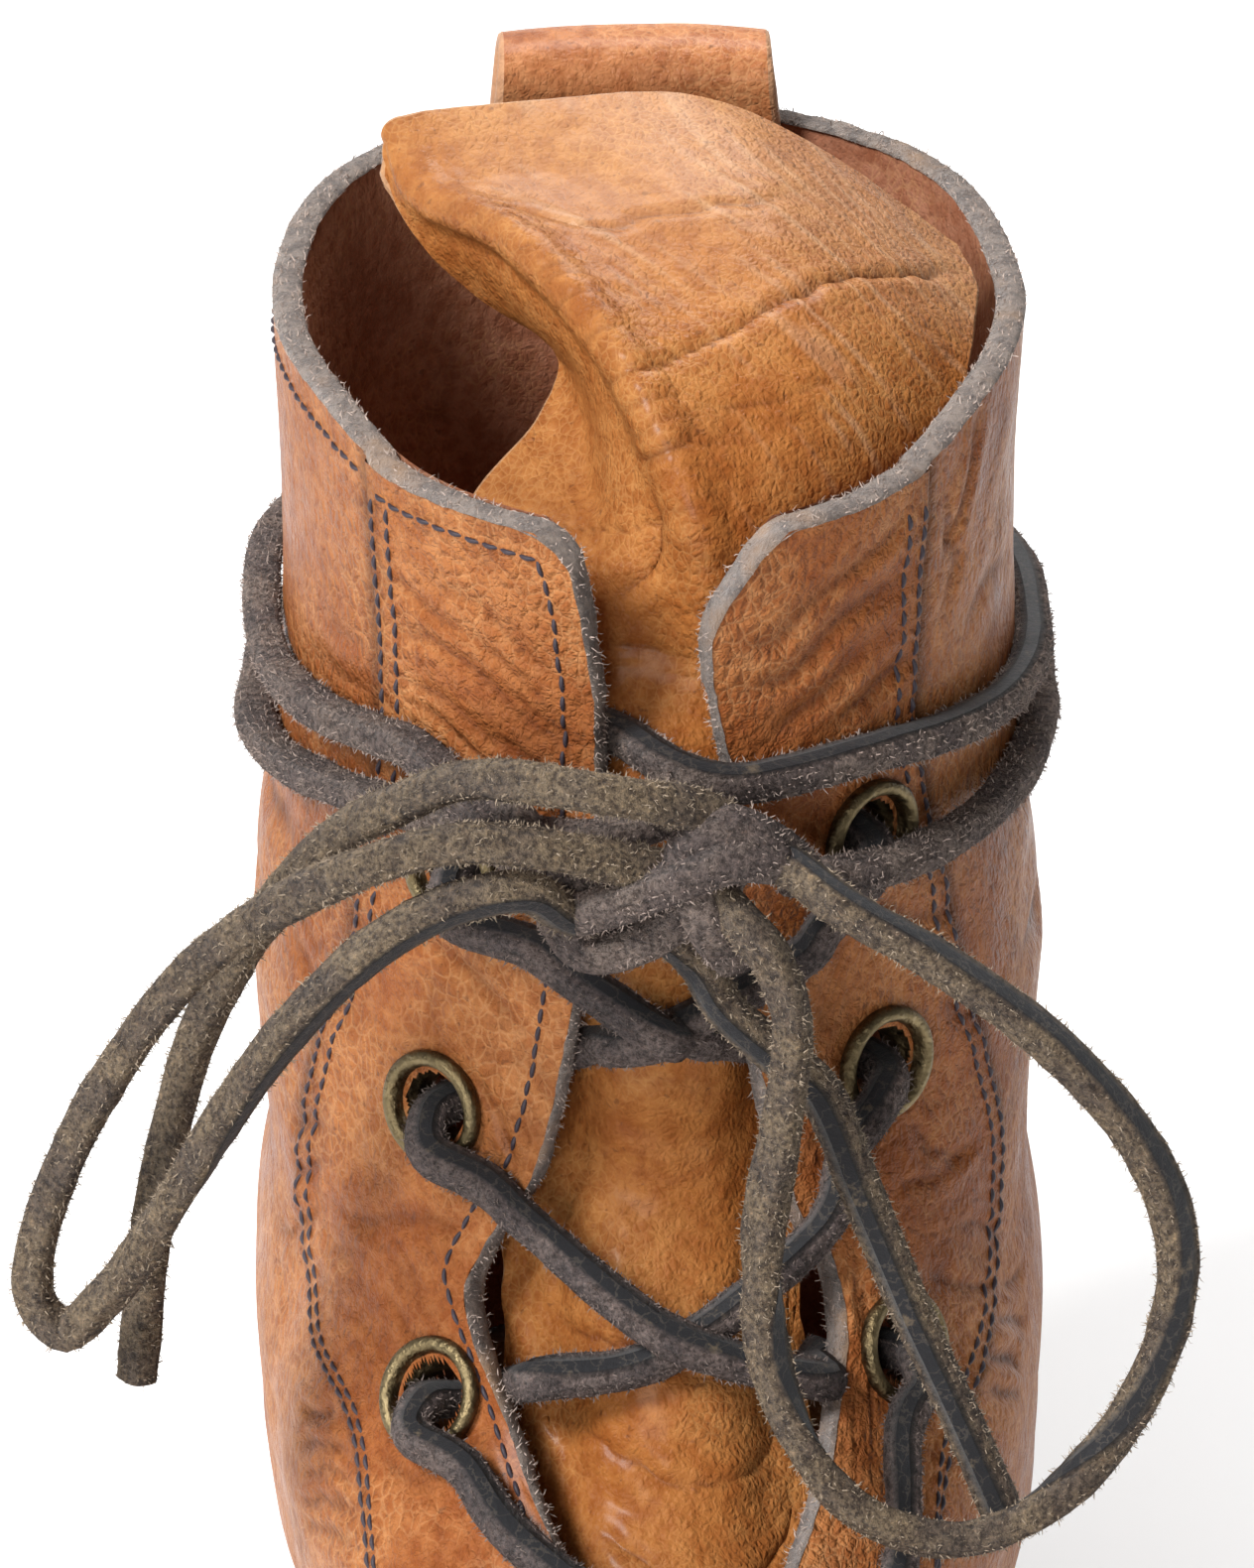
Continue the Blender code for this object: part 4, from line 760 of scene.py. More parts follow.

# Folds in the leather: girth and distance down from the collar of points along each, in
# millimetres, its depth and its width in millimetres. A depth below 0 is a ridge. A fold's depth
# also sets how dark its painted shade is.
FOLDS = (
    (((-32, 19), (-26, 19), (-20, 21), (-14, 24), (-9, 26)), 0.35, 1.1),
    (((-32, 25), (-26, 26), (-21, 27), (-16, 29), (-12, 31)), 0.40, 1.1),
    (((-31, 28), (-24, 29), (-20, 31), (-16, 33)), 0.40, 1.0),
    (((-22, 16), (-17, 18), (-13, 21), (-10, 23)), 0.30, 1.0),
    (((-17, 21), (-13, 23), (-9, 25)), 0.35, 0.9),
    (((-32, 13), (-26, 15), (-21, 16)), 0.25, 1.0),
    (((-26, 10), (-20, 12), (-14, 15), (-11, 18)), 0.25, 1.1),
    (((-55, 33), (-45, 30), (-38, 29)), 0.35, 1.2),
    (((-48, 26), (-38, 25)), 0.30, 1.1),
    (((19, 28), (23, 28), (27, 25), (31, 23)), 0.60, 1.7),
    (((11, 23), (15, 22), (18, 22), (23, 20)), 0.45, 1.6),
    (((8, 17), (13, 17), (18, 14), (24, 13), (30, 12)), 0.45, 1.7),
    (((7, 13), (12, 12), (16, 10), (21, 8), (26, 5), (30, 4)), 0.40, 1.7),
    (((46, 1), (44, 5), (41, 10), (36, 14)), 0.50, 1.3),
    (((37, 6), (38, 11), (40, 16), (38, 21)), 0.40, 1.4),
    (((43, 25), (50, 23), (58, 25)), 0.40, 1.8),
    (((41, 91), (46, 96), (52, 97), (57, 93)), 0.40, 1.4),
    (((43, 101), (50, 100), (54, 96)), 0.35, 1.3),
    (((40, 105), (45, 111), (50, 119)), 0.35, 1.4),
    (((52, 115), (60, 118), (71, 119)), 0.45, 1.5),
    (((55, 107), (64, 109), (73, 113)), 0.35, 1.2),
    (((76, 121), (88, 125)), 0.45, 1.1),
    (((74, 125), (87, 130)), 0.45, 1.1),
    (((70, 129), (86, 135)), 0.60, 1.4),
    (((73, 136), (88, 140)), 0.50, 1.3),
    (((32, 100), (35, 107), (39, 114), (36, 120)), 0.45, 1.8),
    (((-49, 130), (-42, 128), (-35, 124)), 0.35, 1.3),
    (((-49, 134), (-41, 130), (-33, 125)), 0.40, 1.4),
    (((-71, 139), (-60, 135)), 0.70, 1.3),
    (((-74, 144), (-58, 139)), 0.55, 1.2),
    (((-76, 149), (-58, 142)), 0.50, 1.1),
    (((-80, 155), (-58, 145)), 0.60, 1.2),
    (((-83, 160), (-60, 149)), 0.50, 1.1),
    (((-51, 104), (-44, 105), (-35, 100), (-27, 94)), 0.35, 1.8),
    (((-88, 124), (-68, 113), (-55, 103)), 0.40, 1.6),
    (((-64, 97), (-50, 91)), 0.45, 1.5),
    (((-66, 103), (-52, 97)), 0.45, 1.4),
    (((-44, 115), (-38, 115), (-29, 109)), 0.25, 1.5),
    (((-24, 75), (-20, 77), (-18, 81)), 0.35, 1.2),
    (((-44, 60), (-34, 62), (-24, 60), (-15, 64)), 0.35, 2.0),
    (((-58, 70), (-48, 74), (-40, 72)), 0.40, 1.9),
    (((-90, 52), (-72, 60), (-58, 58)), 0.60, 2.6),
    (((-96, 70), (-80, 76), (-64, 74)), 0.60, 2.8),
    (((92, 50), (74, 58), (60, 57)), 0.60, 2.6),
    (((98, 70), (82, 78), (66, 76)), 0.65, 2.8),
    (((46, 60), (36, 60), (26, 57)), 0.45, 2.0),
    (((60, 74), (50, 76), (42, 73)), 0.40, 1.9),
    (((-30, 172), (-12, 178), (8, 178), (26, 173)), 0.80, 2.8),
    (((-44, 190), (-20, 198), (6, 199), (34, 192)), 0.70, 3.0),
    (((-26, 210), (0, 214), (24, 210)), 0.45, 3.2),
)


def panel_lines(down, side):
    """Girths of the throat's edge and of the seam behind the eyelets, at distances down."""
    share = np.asarray(down, float) / THROAT_LENGTH
    name = SIDES[side]
    edge = np.where(share < 1, along_table(THROAT, name + "_edge", share), 0.0) * COLLAR_WIDTH
    seam = along_table(THROAT, name + "_seam", share) * COLLAR_WIDTH
    below = np.maximum(share - 1, 0) * THROAT_LENGTH / (SKIN.front_length - THROAT_LENGTH)
    return edge, seam + below * (SEAM_AT_WELT * COLLAR_WIDTH - seam)


def eyelet_place(row, side):
    """(level, girth) of an eyelet's middle."""
    down = EYELET_ROWS[SIDES[side] + "_down"][row] * THROAT_LENGTH
    return float(SKIN.level_down(down)), side * EYELET_ROWS[SIDES[side] + "_girth"][row] * COLLAR_WIDTH


def distance_to_line(across, along, line):
    """Each point's distance from a line of straight stretches, and its share of the way along."""
    best = np.full(np.shape(across), 1e9)
    share = np.zeros(np.shape(across))
    line = np.asarray(line, float)
    for k in range(len(line) - 1):
        a, d = line[k], line[k + 1] - line[k]
        t = np.clip(((across - a[0]) * d[0] + (along - a[1]) * d[1]) / (d @ d), 0, 1)
        gap = np.hypot(across - a[0] - t * d[0], along - a[1] - t * d[1])
        share = np.where(gap < best, (k + t) / (len(line) - 1), share)
        best = np.minimum(best, gap)
    return best, share


def relief(girth, down):
    """How far the leather stands off its smooth form, and the painted shade that darkens each place in its
    folds and wrinkles.
    """
    u = girth * 1000
    v = down * 1000
    height = 0.25 * ripple(u, v, 17, 11) + 0.16 * ripple(u, v, 7, 12)
    slant = np.where(u < 0, 1, -1) * 0.8
    lines = 1 - np.abs(ripple(u * 0.30 + v * 0.1, v - slant * u * 0.55, 2.3, 15))
    patchy = np.clip(0.5 + 0.9 * ripple(u, v, 13, 16), 0, 1) * ease(150, 110, v)
    height -= 0.13 * patchy * lines**4
    # Painted shade darkens the fine wrinkle lines.
    shade = 0.35 * patchy * lines**8
    wavy_u = u + 0.8 * ripple(u, v, 5, 13)
    wavy_v = v + 0.8 * ripple(u, v, 5, 14)
    for line, depth, width in FOLDS:
        middle = np.mean(line, axis=0)
        near = (np.abs(u - middle[0]) < 45) & (np.abs(v - middle[1]) < 30)
        gap, share = distance_to_line(wavy_u[near], wavy_v[near], line)
        fade = np.minimum(1, 4 * np.minimum(share, 1 - share) + 0.15)
        height[near] -= depth * fade * np.exp(-((gap / width) ** 2))
        height[near] += 0.45 * depth * fade * np.exp(-(((gap - 2.0 * width) / (1.2 * width)) ** 2))
        # Painted shade darkens each fold along its middle, the more the deeper it is.
        dark = fade * min(1.6 * depth, 1) * np.exp(-((gap / (0.5 * width)) ** 2))
        shade[near] = np.maximum(shade[near], dark)
    return height / 1000, shade


def leather(name, light, middle, dark, grain=1.0, pebbles=680, vein=(0.60, 0.33, 0.15), veins=0.26):
    """Waxed calf with a pebbled grain, pale veins in its creases and darker patches, with painted shade in
    its folds and along its seams and a painted sheen where the pale value is set.
    """
    look = Finish(name, Coat_Weight=0.08, Coat_Roughness=0.20, Specular_IOR_Level=0.06)
    tone = look.mix(look.spread(look.noise(30, 4, 0.6), 0.38, 0.62), middle, light)
    tone = look.mix(look.spread(look.noise(75, 5, 0.65), 0.50, 0.78, 0.0, 0.7), tone, dark)
    deeper = look.tinted(tone, (0.74, 0.62, 0.55))
    tone = look.mix(look.spread(look.noise(420, 4, 0.65), 0.35, 0.65), deeper, tone)
    pebble = look.cells(pebbles, look.shifted(look.stretched((1.0, 1.0, 0.75)), 380, 0.0013))
    fine = look.cells(1500, look.shifted(look.place, 600, 0.0012))
    between = look.spread(pebble, 0.0, 0.12, 1.0, 0.0)
    here_and_there = look.spread(look.noise(60, 3), 0.40, 0.60)
    tone = look.mix(look.times(look.times(between, here_and_there), veins), tone, vein)
    speck = look.spread(look.noise(900, 2, 0.5), 0.66, 0.74)
    tone = look.mix(look.times(speck, 0.5), tone, (0.10, 0.035, 0.016))
    # Painted shade darkens the leather in its creases and folds.
    tone = look.mix(look.times(look.value("crease_shade"), 0.75), tone, (0.085, 0.022, 0.008))
    # Painted shade along the seams: on the front panel towards its sewn edges, and on the quarters under
    # the panel's proud edge.
    tone = look.mix(look.times(look.value("seam_shade"), 0.8), tone, (0.050, 0.022, 0.014))
    # Pale veins and edges, and a painted sheen that pales the tongue's top.
    pale_and_sheen = look.value("pale_and_sheen")
    tone = look.mix(look.times(pale_and_sheen, 0.8), tone, (0.56, 0.38, 0.24))
    look.set("Base Color", tone)
    rough = look.spread(look.noise(120, 4, 0.6), 0.3, 0.7, 0.30, 0.52)
    look.set("Roughness", look.sum(rough, look.times(pale_and_sheen, 0.2)))
    height = look.sum(look.spread(pebble, 0.0, 0.5), look.times(look.spread(fine, 0.0, 0.3), 0.35))
    height = look.sum(height, look.times(look.noise(3200, 3, 0.6), 0.25))
    soft = look.bump(look.noise(240, 4, 0.6), 0.0012 * grain, 0.6)
    look.set("Normal", look.bump(height, 0.00034 * grain, 0.8, soft))
    return look.material


UPPER_LEATHER = leather(
    "upper_leather", (0.405, 0.160, 0.054), (0.310, 0.104, 0.032), (0.140, 0.038, 0.013)
)


def punched(points, faces, holes, radius):
    """The faces left when round holes are punched through them."""
    middle = points.reshape(-1, 3)[faces].mean(axis=1)
    keep = np.ones(len(faces), bool)
    for centre, normal in holes:
        off = middle - centre
        along = off @ normal
        away = np.linalg.norm(off - along[:, None] * normal, axis=1)
        keep &= ~((away < radius) & (np.abs(along) < 0.006))
    return faces[keep]


HOLES = [SKIN.place(*eyelet_place(row, side))[:2] for row in range(4) for side in SIDES]


def front_girths(down, columns):
    """Rows of girths from the outer seam to the throat, then from the throat to the inner seam."""
    t = np.linspace(0, 1, columns)
    outer_edge, outer_seam = panel_lines(down, -1)
    inner_edge, inner_seam = panel_lines(down, 1)
    outer = -(outer_seam[:, None] + (outer_edge - outer_seam)[:, None] * t)
    inner = inner_edge[:, None] + (inner_seam - inner_edge)[:, None] * t
    return np.hstack([outer, inner])


def split_at_throat(faces, columns, down):
    """The faces of rows 2 * columns wide, without those that would close the throat."""
    row, column = np.divmod(faces[:, 0], 2 * columns)
    return faces[(column != columns - 1) | (down[row] >= THROAT_LENGTH)]


def front_panel():
    """The front panel's face, split by the throat, with its sewn edges rolled down."""
    share = np.linspace(0, 1, PANEL_ROWS)
    down = SKIN.front_length * 0.999 * (0.62 * share + 0.38 * share**3)
    girths = front_girths(down, PANEL_COLUMNS)
    points, normals = SKIN.grid(SKIN.level_down(down), girths)
    wave, crease_shade = relief(girths, np.repeat(down[:, None], girths.shape[1], axis=1))
    to_seam = np.minimum(girths - girths[:, :1], girths[:, -1:] - girths)
    lift = (PANEL_STEP + 0.0003) * ease(-0.0002, 0.0011, to_seam) - 0.0003
    points = points + normals * (lift + wave)[..., None]
    faces = split_at_throat(grid_faces(*girths.shape), PANEL_COLUMNS, down)
    faces = punched(points, faces, HOLES, EYELET_HOLE_RADIUS + 0.0006)
    return down, girths, points, normals, faces, crease_shade


down, girths, points, normals, faces, crease_shade = front_panel()
# Painted shade darkens the panel towards its sewn edges.
seam_shade = 0.55 * np.exp(-(np.minimum(girths - girths[:, :1], girths[:, -1:] - girths) / 0.0022) ** 2)
front_rows = points
piece(
    "front_panel", points.reshape(-1, 3), faces, UPPER_LEATHER, ("upper",),
    {"crease_shade": crease_shade, "seam_shade": seam_shade, "pale_and_sheen": np.zeros_like(crease_shade)},
)

quarter_rows = {}
for side, name in SIDES.items():
    share = np.linspace(0, 1, QUARTER_ROWS)
    rows = SKIN.front_length * 0.999 * (0.75 * share + 0.25 * share**3)
    level = SKIN.level_down(rows)
    seam = panel_lines(rows, side)[1] - 0.0025
    back = np.array([abs(SKIN.back_girths(each)[0 if side < 0 else 1]) for each in level])
    share = np.linspace(0, 1, QUARTER_COLUMNS)
    girths = side * (seam[:, None] + (back - seam)[:, None] * share)
    points, normals = SKIN.grid(level, girths)
    wave, crease_shade = relief(girths, np.repeat(rows[:, None], QUARTER_COLUMNS, axis=1))
    tucked = 0.0010 * (1 - ease(0.0, 0.0035, np.abs(girths) - seam[:, None]))
    points = points + normals * (wave * ease(0, 0.006, back[:, None] - np.abs(girths)) - tucked)[..., None]
    # Painted shade on the quarter, in a strip under the front panel's proud edge.
    seam_shade = 0.75 * np.exp(-((np.abs(girths) - seam[:, None] - 0.0028) / 0.0016) ** 2)
    faces = grid_faces(QUARTER_ROWS, QUARTER_COLUMNS)
    if side < 0:
        faces = faces[:, ::-1]
    quarter_rows[side] = points
    piece(
        f"{name}_quarter", points.reshape(-1, 3), faces, UPPER_LEATHER, (),
        {"crease_shade": crease_shade, "seam_shade": seam_shade, "pale_and_sheen": np.zeros_like(crease_shade)},
    )

# The lining: the flesh side of the same hide, which follows the upper all the way down. It is
# darker and matt, and is seen only down inside the collar.
LINING_LEATHER = leather(
    "lining_leather", (0.42, 0.190, 0.112), (0.34, 0.145, 0.084), (0.20, 0.080, 0.046), 0.4
)
LINING_ROWS = 150
LINING_COLUMNS = 60
lining_down = np.linspace(0, SKIN.front_length * 0.99, LINING_ROWS)
rows = []
for down_here in lining_down:
    level = float(SKIN.level_down(down_here))
    outer_back, inner_back = SKIN.back_girths(level)
    outer_edge, inner_edge = (float(panel_lines(down_here, side)[0]) for side in SIDES)
    outer = np.linspace(outer_back, -outer_edge, LINING_COLUMNS)
    inner = np.linspace(inner_edge, inner_back, LINING_COLUMNS)
    rows.append(np.concatenate([outer, inner]))
lining_girths = np.array(rows)
points, normals = SKIN.grid(SKIN.level_down(lining_down), lining_girths)
lining_rows = points - normals * WALL
faces = split_at_throat(grid_faces(*lining_girths.shape), LINING_COLUMNS, lining_down)
faces = punched(lining_rows, faces, HOLES, EYELET_HOLE_RADIUS + 0.0008)[:, ::-1]
plain = np.zeros(lining_girths.size)
piece(
    "lining", lining_rows.reshape(-1, 3), faces, LINING_LEATHER, (),
    {"crease_shade": plain, "seam_shade": plain, "pale_and_sheen": plain},
)

# The cut edge. The collar and the throat are left raw: the leather's thickness shows, gone
# grey-beige, rounded and fuzzy with wear.
RIM_BULGE = 0.0006
CUT_STEP = 0.0006
CUT_FIBRES = 5200
CUT_FIBRE_LENGTH = 0.0011


def raw_edge(face_line, lining_line, away, seed):
    """Rows of points over a rounded, uneven cut edge between the leather's face and its lining."""
    steps = 9
    turn = np.linspace(0, math.pi, steps)
    middle = (face_line + lining_line) / 2
    half = (face_line - lining_line) / 2
    run = length_along(middle)
    bulge = RIM_BULGE * (1 + 0.35 * wander(run, 0.004, seed))
    rows = (
        middle[:, None]
        + half[:, None] * np.cos(turn)[None, :, None] * 1.06
        + away[:, None] * (np.sin(turn)[None] * bulge[:, None])[..., None]
    )
    along, around = np.meshgrid(run, 0.002 * turn, indexing="ij")
    rough = 0.00012 * ripple(along, around, 0.0011, seed + 1)
    return rows + away[:, None] * rough[..., None]


def edge_material():
    look = Finish("raw_edge", roughness=0.95, Sheen_Weight=0.3, Sheen_Roughness=0.5)
    fibres = look.spread(look.noise(520, 5, 0.75), 0.38, 0.62)
    tone = look.mix(fibres, (0.105, 0.072, 0.056), (0.270, 0.202, 0.160))
    tone = look.mix(look.spread(look.noise(90, 3), 0.55, 0.70), tone, (0.33, 0.19, 0.10))
    look.set("Base Color", tone)
    look.set("Normal", look.bump(look.noise(1500, 5, 0.75), 0.0012, 1.0))
    return look.material


RAW_EDGE = edge_material()
EDGE_NAP = nap_material("edge_nap", (0.30, 0.235, 0.20))


def on_lining(girths, downs):
    """Points on the lining at these places."""
    levels = SKIN.level_down(np.asarray(downs, float))
    points, normals = SKIN.grid(levels, [np.array([g]) for g in girths])
    return points[:, 0] - normals[:, 0] * WALL


def throat_cut(side):
    """The throat's edge from the collar down: on the face, on the lining, and which way it looks."""
    column = PANEL_COLUMNS - 1 if side < 0 else PANEL_COLUMNS
    in_throat = down < THROAT_LENGTH * 0.985
    face_line = front_rows[in_throat, column]
    lining_line = on_lining(side * panel_lines(down[in_throat], side)[0], down[in_throat])
    away = unit(np.cross(unit(np.gradient(face_line, axis=0)), unit(face_line - lining_line))) * (-side)
    inward = unit(face_line - front_rows[in_throat, column + side * 3])
    away = np.where((away * inward).sum(1, keepdims=True) < 0, -away, away)
    return np.hstack([face_line, lining_line, away])


# Up one side of the throat, round the collar and down the other side.
outer_cut, inner_cut = (throat_cut(side) for side in SIDES)
collar_face = np.vstack([front_rows[0, :PANEL_COLUMNS][::-1], quarter_rows[-1][0][4:]])
collar_rest = np.vstack([quarter_rows[1][0][4:][::-1], front_rows[0, PANEL_COLUMNS:][::-1]])
collar_face = smooth_path(np.vstack([collar_face, collar_rest])[::3], 0.0008)
collar_up = np.tile([0.0, 0.0, 1.0], (len(collar_face), 1))
collar_in = unit(np.cross(unit(np.gradient(collar_face, axis=0)), collar_up))
collar_middle = np.array([0.0, AXIS_Y, COLLAR_HEIGHT])
looks_in = ((collar_middle - collar_face) * collar_in).sum(1, keepdims=True) > 0
collar_in = np.where(looks_in, collar_in, -collar_in)
collar_cut = np.hstack([collar_face, collar_face + collar_in * (WALL + PANEL_STEP * 0.5), collar_up])
cut = np.vstack([outer_cut[:0:-1], collar_cut[2:-2], inner_cut[1:]])
cut_run = length_along(cut[:, :3])
even_run = np.arange(0, cut_run[-1], CUT_STEP)
cut = np.stack([np.interp(even_run, cut_run, column) for column in cut.T], axis=1)
# The corners at the throat's top are worn round; the way the edge looks turns more gently still.
for pass_number in range(16):
    columns = slice(0, 9) if pass_number < 5 else slice(6, 9)
    cut[1:-1, columns] = 0.25 * cut[:-2, columns] + 0.5 * cut[1:-1, columns] + 0.25 * cut[2:, columns]
away = unit(cut[:, 6:])
rows = raw_edge(cut[:, :3], cut[:, 3:6], away, 51)
piece("cut_edge", rows.reshape(-1, 3), grid_faces(*rows.shape[:2]), RAW_EDGE)
fuzz_dice = np.random.default_rng(77)
pick = fuzz_dice.integers(0, len(rows), CUT_FIBRES)
spot = fuzz_dice.integers(0, rows.shape[1], CUT_FIBRES)
lean = unit(away[pick] + 0.3 * fuzz_dice.normal(size=(CUT_FIBRES, 3)))
edge_way = unit(np.gradient(cut[:, :3], axis=0))
fuzz(
    "cut_edge_fuzz", rows[pick, spot], lean, edge_way[pick], CUT_FIBRE_LENGTH, EDGE_NAP,
    53,
)

# The seams. Two rows of blue-black waxed thread run down behind the eyelets, and on the outer
# side a single row follows the collar and the throat; each stitch sinks in at its ends.
STITCH_LENGTH = 0.0022
STITCH_RADIUS = 0.00028
SEAM_STEP = 0.0015
SEAM_ROWS = (0.0016, 0.0042)
EDGE_ROW = 0.0032


def thread_material():
    look = Finish("waxed_thread", roughness=0.6)
    look.set("Base Color", look.mix(look.noise(800, 2), (0.016, 0.012, 0.020), (0.045, 0.030, 0.040)))
    return look.material


THREAD = thread_material()


def stitches(name, line, normals, slot="upper_leather"):
    """A row of stitches along a line on the leather."""
    run = length_along(line)
    count = int(run[-1] / STITCH_LENGTH)
    points, faces = [], []
    steps, around = 6, 6
    dice = np.random.default_rng(len(name))
    for k in range(count):
        start = (k + 0.06) * STITCH_LENGTH
        where = np.linspace(start, start + 0.88 * STITCH_LENGTH, steps)
        middle = np.stack([np.interp(where, run, line[:, a]) for a in range(3)], axis=1)
        up = unit(np.stack([np.interp(where, run, normals[:, a]) for a in range(3)], axis=1))
        arch = np.sin(np.linspace(0, math.pi, steps))
        along = unit(np.gradient(middle, axis=0))
        side = np.cross(along, up)
        middle = middle + up * (arch[:, None] * 0.00035 - 0.00022) + side * dice.normal() * 0.00007
        turn = np.linspace(0, 2 * math.pi, around, endpoint=False)
        size = STITCH_RADIUS * (0.75 + 0.25 * arch)[:, None, None]
        cos, sin = np.cos(turn)[None, :, None], np.sin(turn)[None, :, None]
        ring = middle[:, None] + size * (side[:, None] * cos + up[:, None] * sin)
        faces += (grid_faces(steps, around, closed=True) + len(points) * steps * around).tolist()
        points.append(ring.reshape(-1, 3))
    return piece(name, np.vstack(points), faces, THREAD)


def line_on_panel(girths, downs):
    """Points and normals on the front panel's face along a line of places."""
    downs = np.asarray(downs, float)
    girths = np.asarray(girths, float)
    points, normals = SKIN.grid(SKIN.level_down(downs), [np.array([g]) for g in girths])
    wave = relief(girths, downs)[0]
    points = points[:, 0] + normals[:, 0] * (PANEL_STEP + wave)[:, None]
    return points, normals[:, 0]


for side, name in SIDES.items():
    seam_down = np.arange(0.004, SKIN.front_length - 0.004, SEAM_STEP)
    for order, inset in enumerate(SEAM_ROWS):
        girth = side * (panel_lines(seam_down, side)[1] - inset)
        stitches(f"{name}_seam_{order + 1}", *line_on_panel(girth, seam_down))
    if side > 0:
        continue
    edge_down = np.arange(EDGE_ROW, THROAT_LENGTH * 0.93, SEAM_STEP)
    girth = side * (panel_lines(edge_down, side)[0] + EDGE_ROW)
    stitches(f"{name}_edge_row", *line_on_panel(girth, edge_down))
    edge, seam = panel_lines(EDGE_ROW, side)
    across = np.arange(float(edge) + EDGE_ROW, float(seam), SEAM_STEP)
    stitches(f"{name}_collar_row", *line_on_panel(side * across, np.full(len(across), EDGE_ROW)))
    back = abs(SKIN.back_girths(1)[0])
    across = np.linspace(float(seam) + 0.002, back - 0.018, 200)
    points, normals = line_on_panel(side * across, np.full(len(across), EDGE_ROW))
    stitches(f"{name}_collar_row_back", points - normals * PANEL_STEP, normals)

# The eyelets: antique brass, each a rolled rim outside and a barrel through the leather, worn
# bright on the high side of the rim.
EYELET_OUTER_RADIUS = 0.0064
EYELET_RIM = 0.0013


def brass_material():
    look = Finish("antique_brass", roughness=0.36, Metallic=1.0)
    tarnish = look.spread(look.noise(420, 4, 0.65), 0.36, 0.62)
    tone = look.mix(tarnish, (0.045, 0.032, 0.018), (0.150, 0.108, 0.055))
    worn = look.times(look.value("worn"), 0.7)
    look.set("Base Color", look.mix(worn, tone, (0.30, 0.235, 0.125)))
    look.set("Roughness", look.spread(look.noise(700, 3), 0.3, 0.7, 0.34, 0.58))
    look.set("Normal", look.bump(look.noise(1300, 4), 0.0004, 0.8))
    return look.material


BRASS = brass_material()
EYELET_PROFILE = [
    (EYELET_OUTER_RADIUS * 0.97, -0.0003, 0),
    (EYELET_OUTER_RADIUS, 0.0003, 0),
    (EYELET_OUTER_RADIUS * 0.985, 0.0008, 0.2),
    (EYELET_OUTER_RADIUS * 0.93, EYELET_RIM * 0.92, 0.7),
    (EYELET_OUTER_RADIUS * 0.84, EYELET_RIM, 1),
    (EYELET_OUTER_RADIUS * 0.77, EYELET_RIM * 0.78, 0.5),
    (EYELET_OUTER_RADIUS * 0.72, EYELET_RIM * 0.35, 0.1),
    (EYELET_OUTER_RADIUS * 0.70, -0.0006, 0),
    (EYELET_HOLE_RADIUS * 1.04, -0.0014, 0),
    (EYELET_HOLE_RADIUS, -0.0020, 0),
    (EYELET_HOLE_RADIUS, -0.0042, 0),
]


def turned(name, profile, around, centre, normal, up, material, slot, replaces=()):
    """A shape turned about the normal from a profile of (radius, height, wear)."""
    turn = np.linspace(0, 2 * math.pi, around, endpoint=False)
    side = np.cross(up, normal)
    spokes = np.cos(turn)[:, None] * side + np.sin(turn)[:, None] * up
    rows = [centre + spokes * p[0] + normal * p[1] for p in profile]
    worn = np.repeat([p[2] for p in profile], around)
    faces = grid_faces(len(profile), around, closed=True)
    return piece(name, np.vstack(rows), faces, material, replaces, {"worn": worn})


eyelet_seats = {}
for row in range(4):
    for side, name in SIDES.items():
        level, girth = eyelet_place(row, side)
        point, normal, _, up = SKIN.place(level, girth)
        wave = float(relief(np.array([girth]), (1 - np.array([level])) * SKIN.front_length)[0][0])
        seat = point + normal * (PANEL_STEP + wave + 0.0003)
        eyelet_seats[row, side] = (seat, normal, up)
        turned(
            f"{name}_eyelet_{row + 1}", EYELET_PROFILE, 48, seat, normal, up, BRASS, "eyelet_brass",
            (f"eyelet_{name}_{row + 1}",),
        )

# The lacing. From each eyelet the lace comes out through the ring, crosses the tongue and dives
# under the other side's edge towards the next ring; the last row is a straight bar. Its two
# ends then run round the shaft, once each, to the knot.
OVER = 0.0024


def above_skin(down_here, girth, lift):
    """A point lifted off the skin, at a distance down the throat and a girth."""
    point, normal = SKIN.place(float(SKIN.level_down(down_here)), girth)[:2]
    return point + normal * lift


def strand(row, side):
    """The lace from inside one eyelet, out, across, under the far edge to the next eyelet."""
    from_level, start = eyelet_place(row, side)
    to_level, end = eyelet_place(row + 1, -side)
    top, bottom = ((1 - level) * SKIN.front_length for level in (from_level, to_level))
    seat, normal, up = eyelet_seats[row, side]

    def down_at(girth):
        return top + (bottom - top) * (abs(girth - start) / abs(end - start)) ** 1.7

    edge = 0.0
    for _ in range(6):
        edge = float(panel_lines(down_at(-side * edge), -side)[0])
    _, _, around, _ = SKIN.place(from_level, start)
    lead = -around * side
    points = [
        seat - normal * 0.0070 + up * 0.0004,
        seat - normal * 0.0030 - lead * 0.0002 - up * 0.0003,
        seat + normal * 0.0012 + lead * 0.0006 - up * 0.0008,
        seat + normal * 0.0034 + lead * 0.0038 - up * 0.0024,
    ]
    stops = [
        (start - side * 0.0095, OVER + 0.0014),
        (side * 0.5 * abs(start), OVER + 0.0003),
        (0.0, OVER + (0.0016 if side < 0 else -0.0016)),
        (-side * (edge - 0.0098), OVER - 0.0008),
        (-side * (edge - 0.0060), -0.0006),
        (-side * (edge - 0.0026), -0.0040),
        (-side * (edge + 0.0050), -0.0056),
    ]
    points += [above_skin(down_at(girth), girth, lift) for girth, lift in stops]
    return points


facing = ((0, (0, -0.2, 1)), (0.35, (0, -0.3, 1)), (1, (0, -0.5, 0.9)))
for row in range(3):
    for side, name in SIDES.items():
        lace(
            f"lacing_{name}_{row + 1}", strand(row, side), facing, LACED_LACE,
            100 + 7 * row + side, (f"lace_crossing_{row + 1}",) if side < 0 else (),
        )

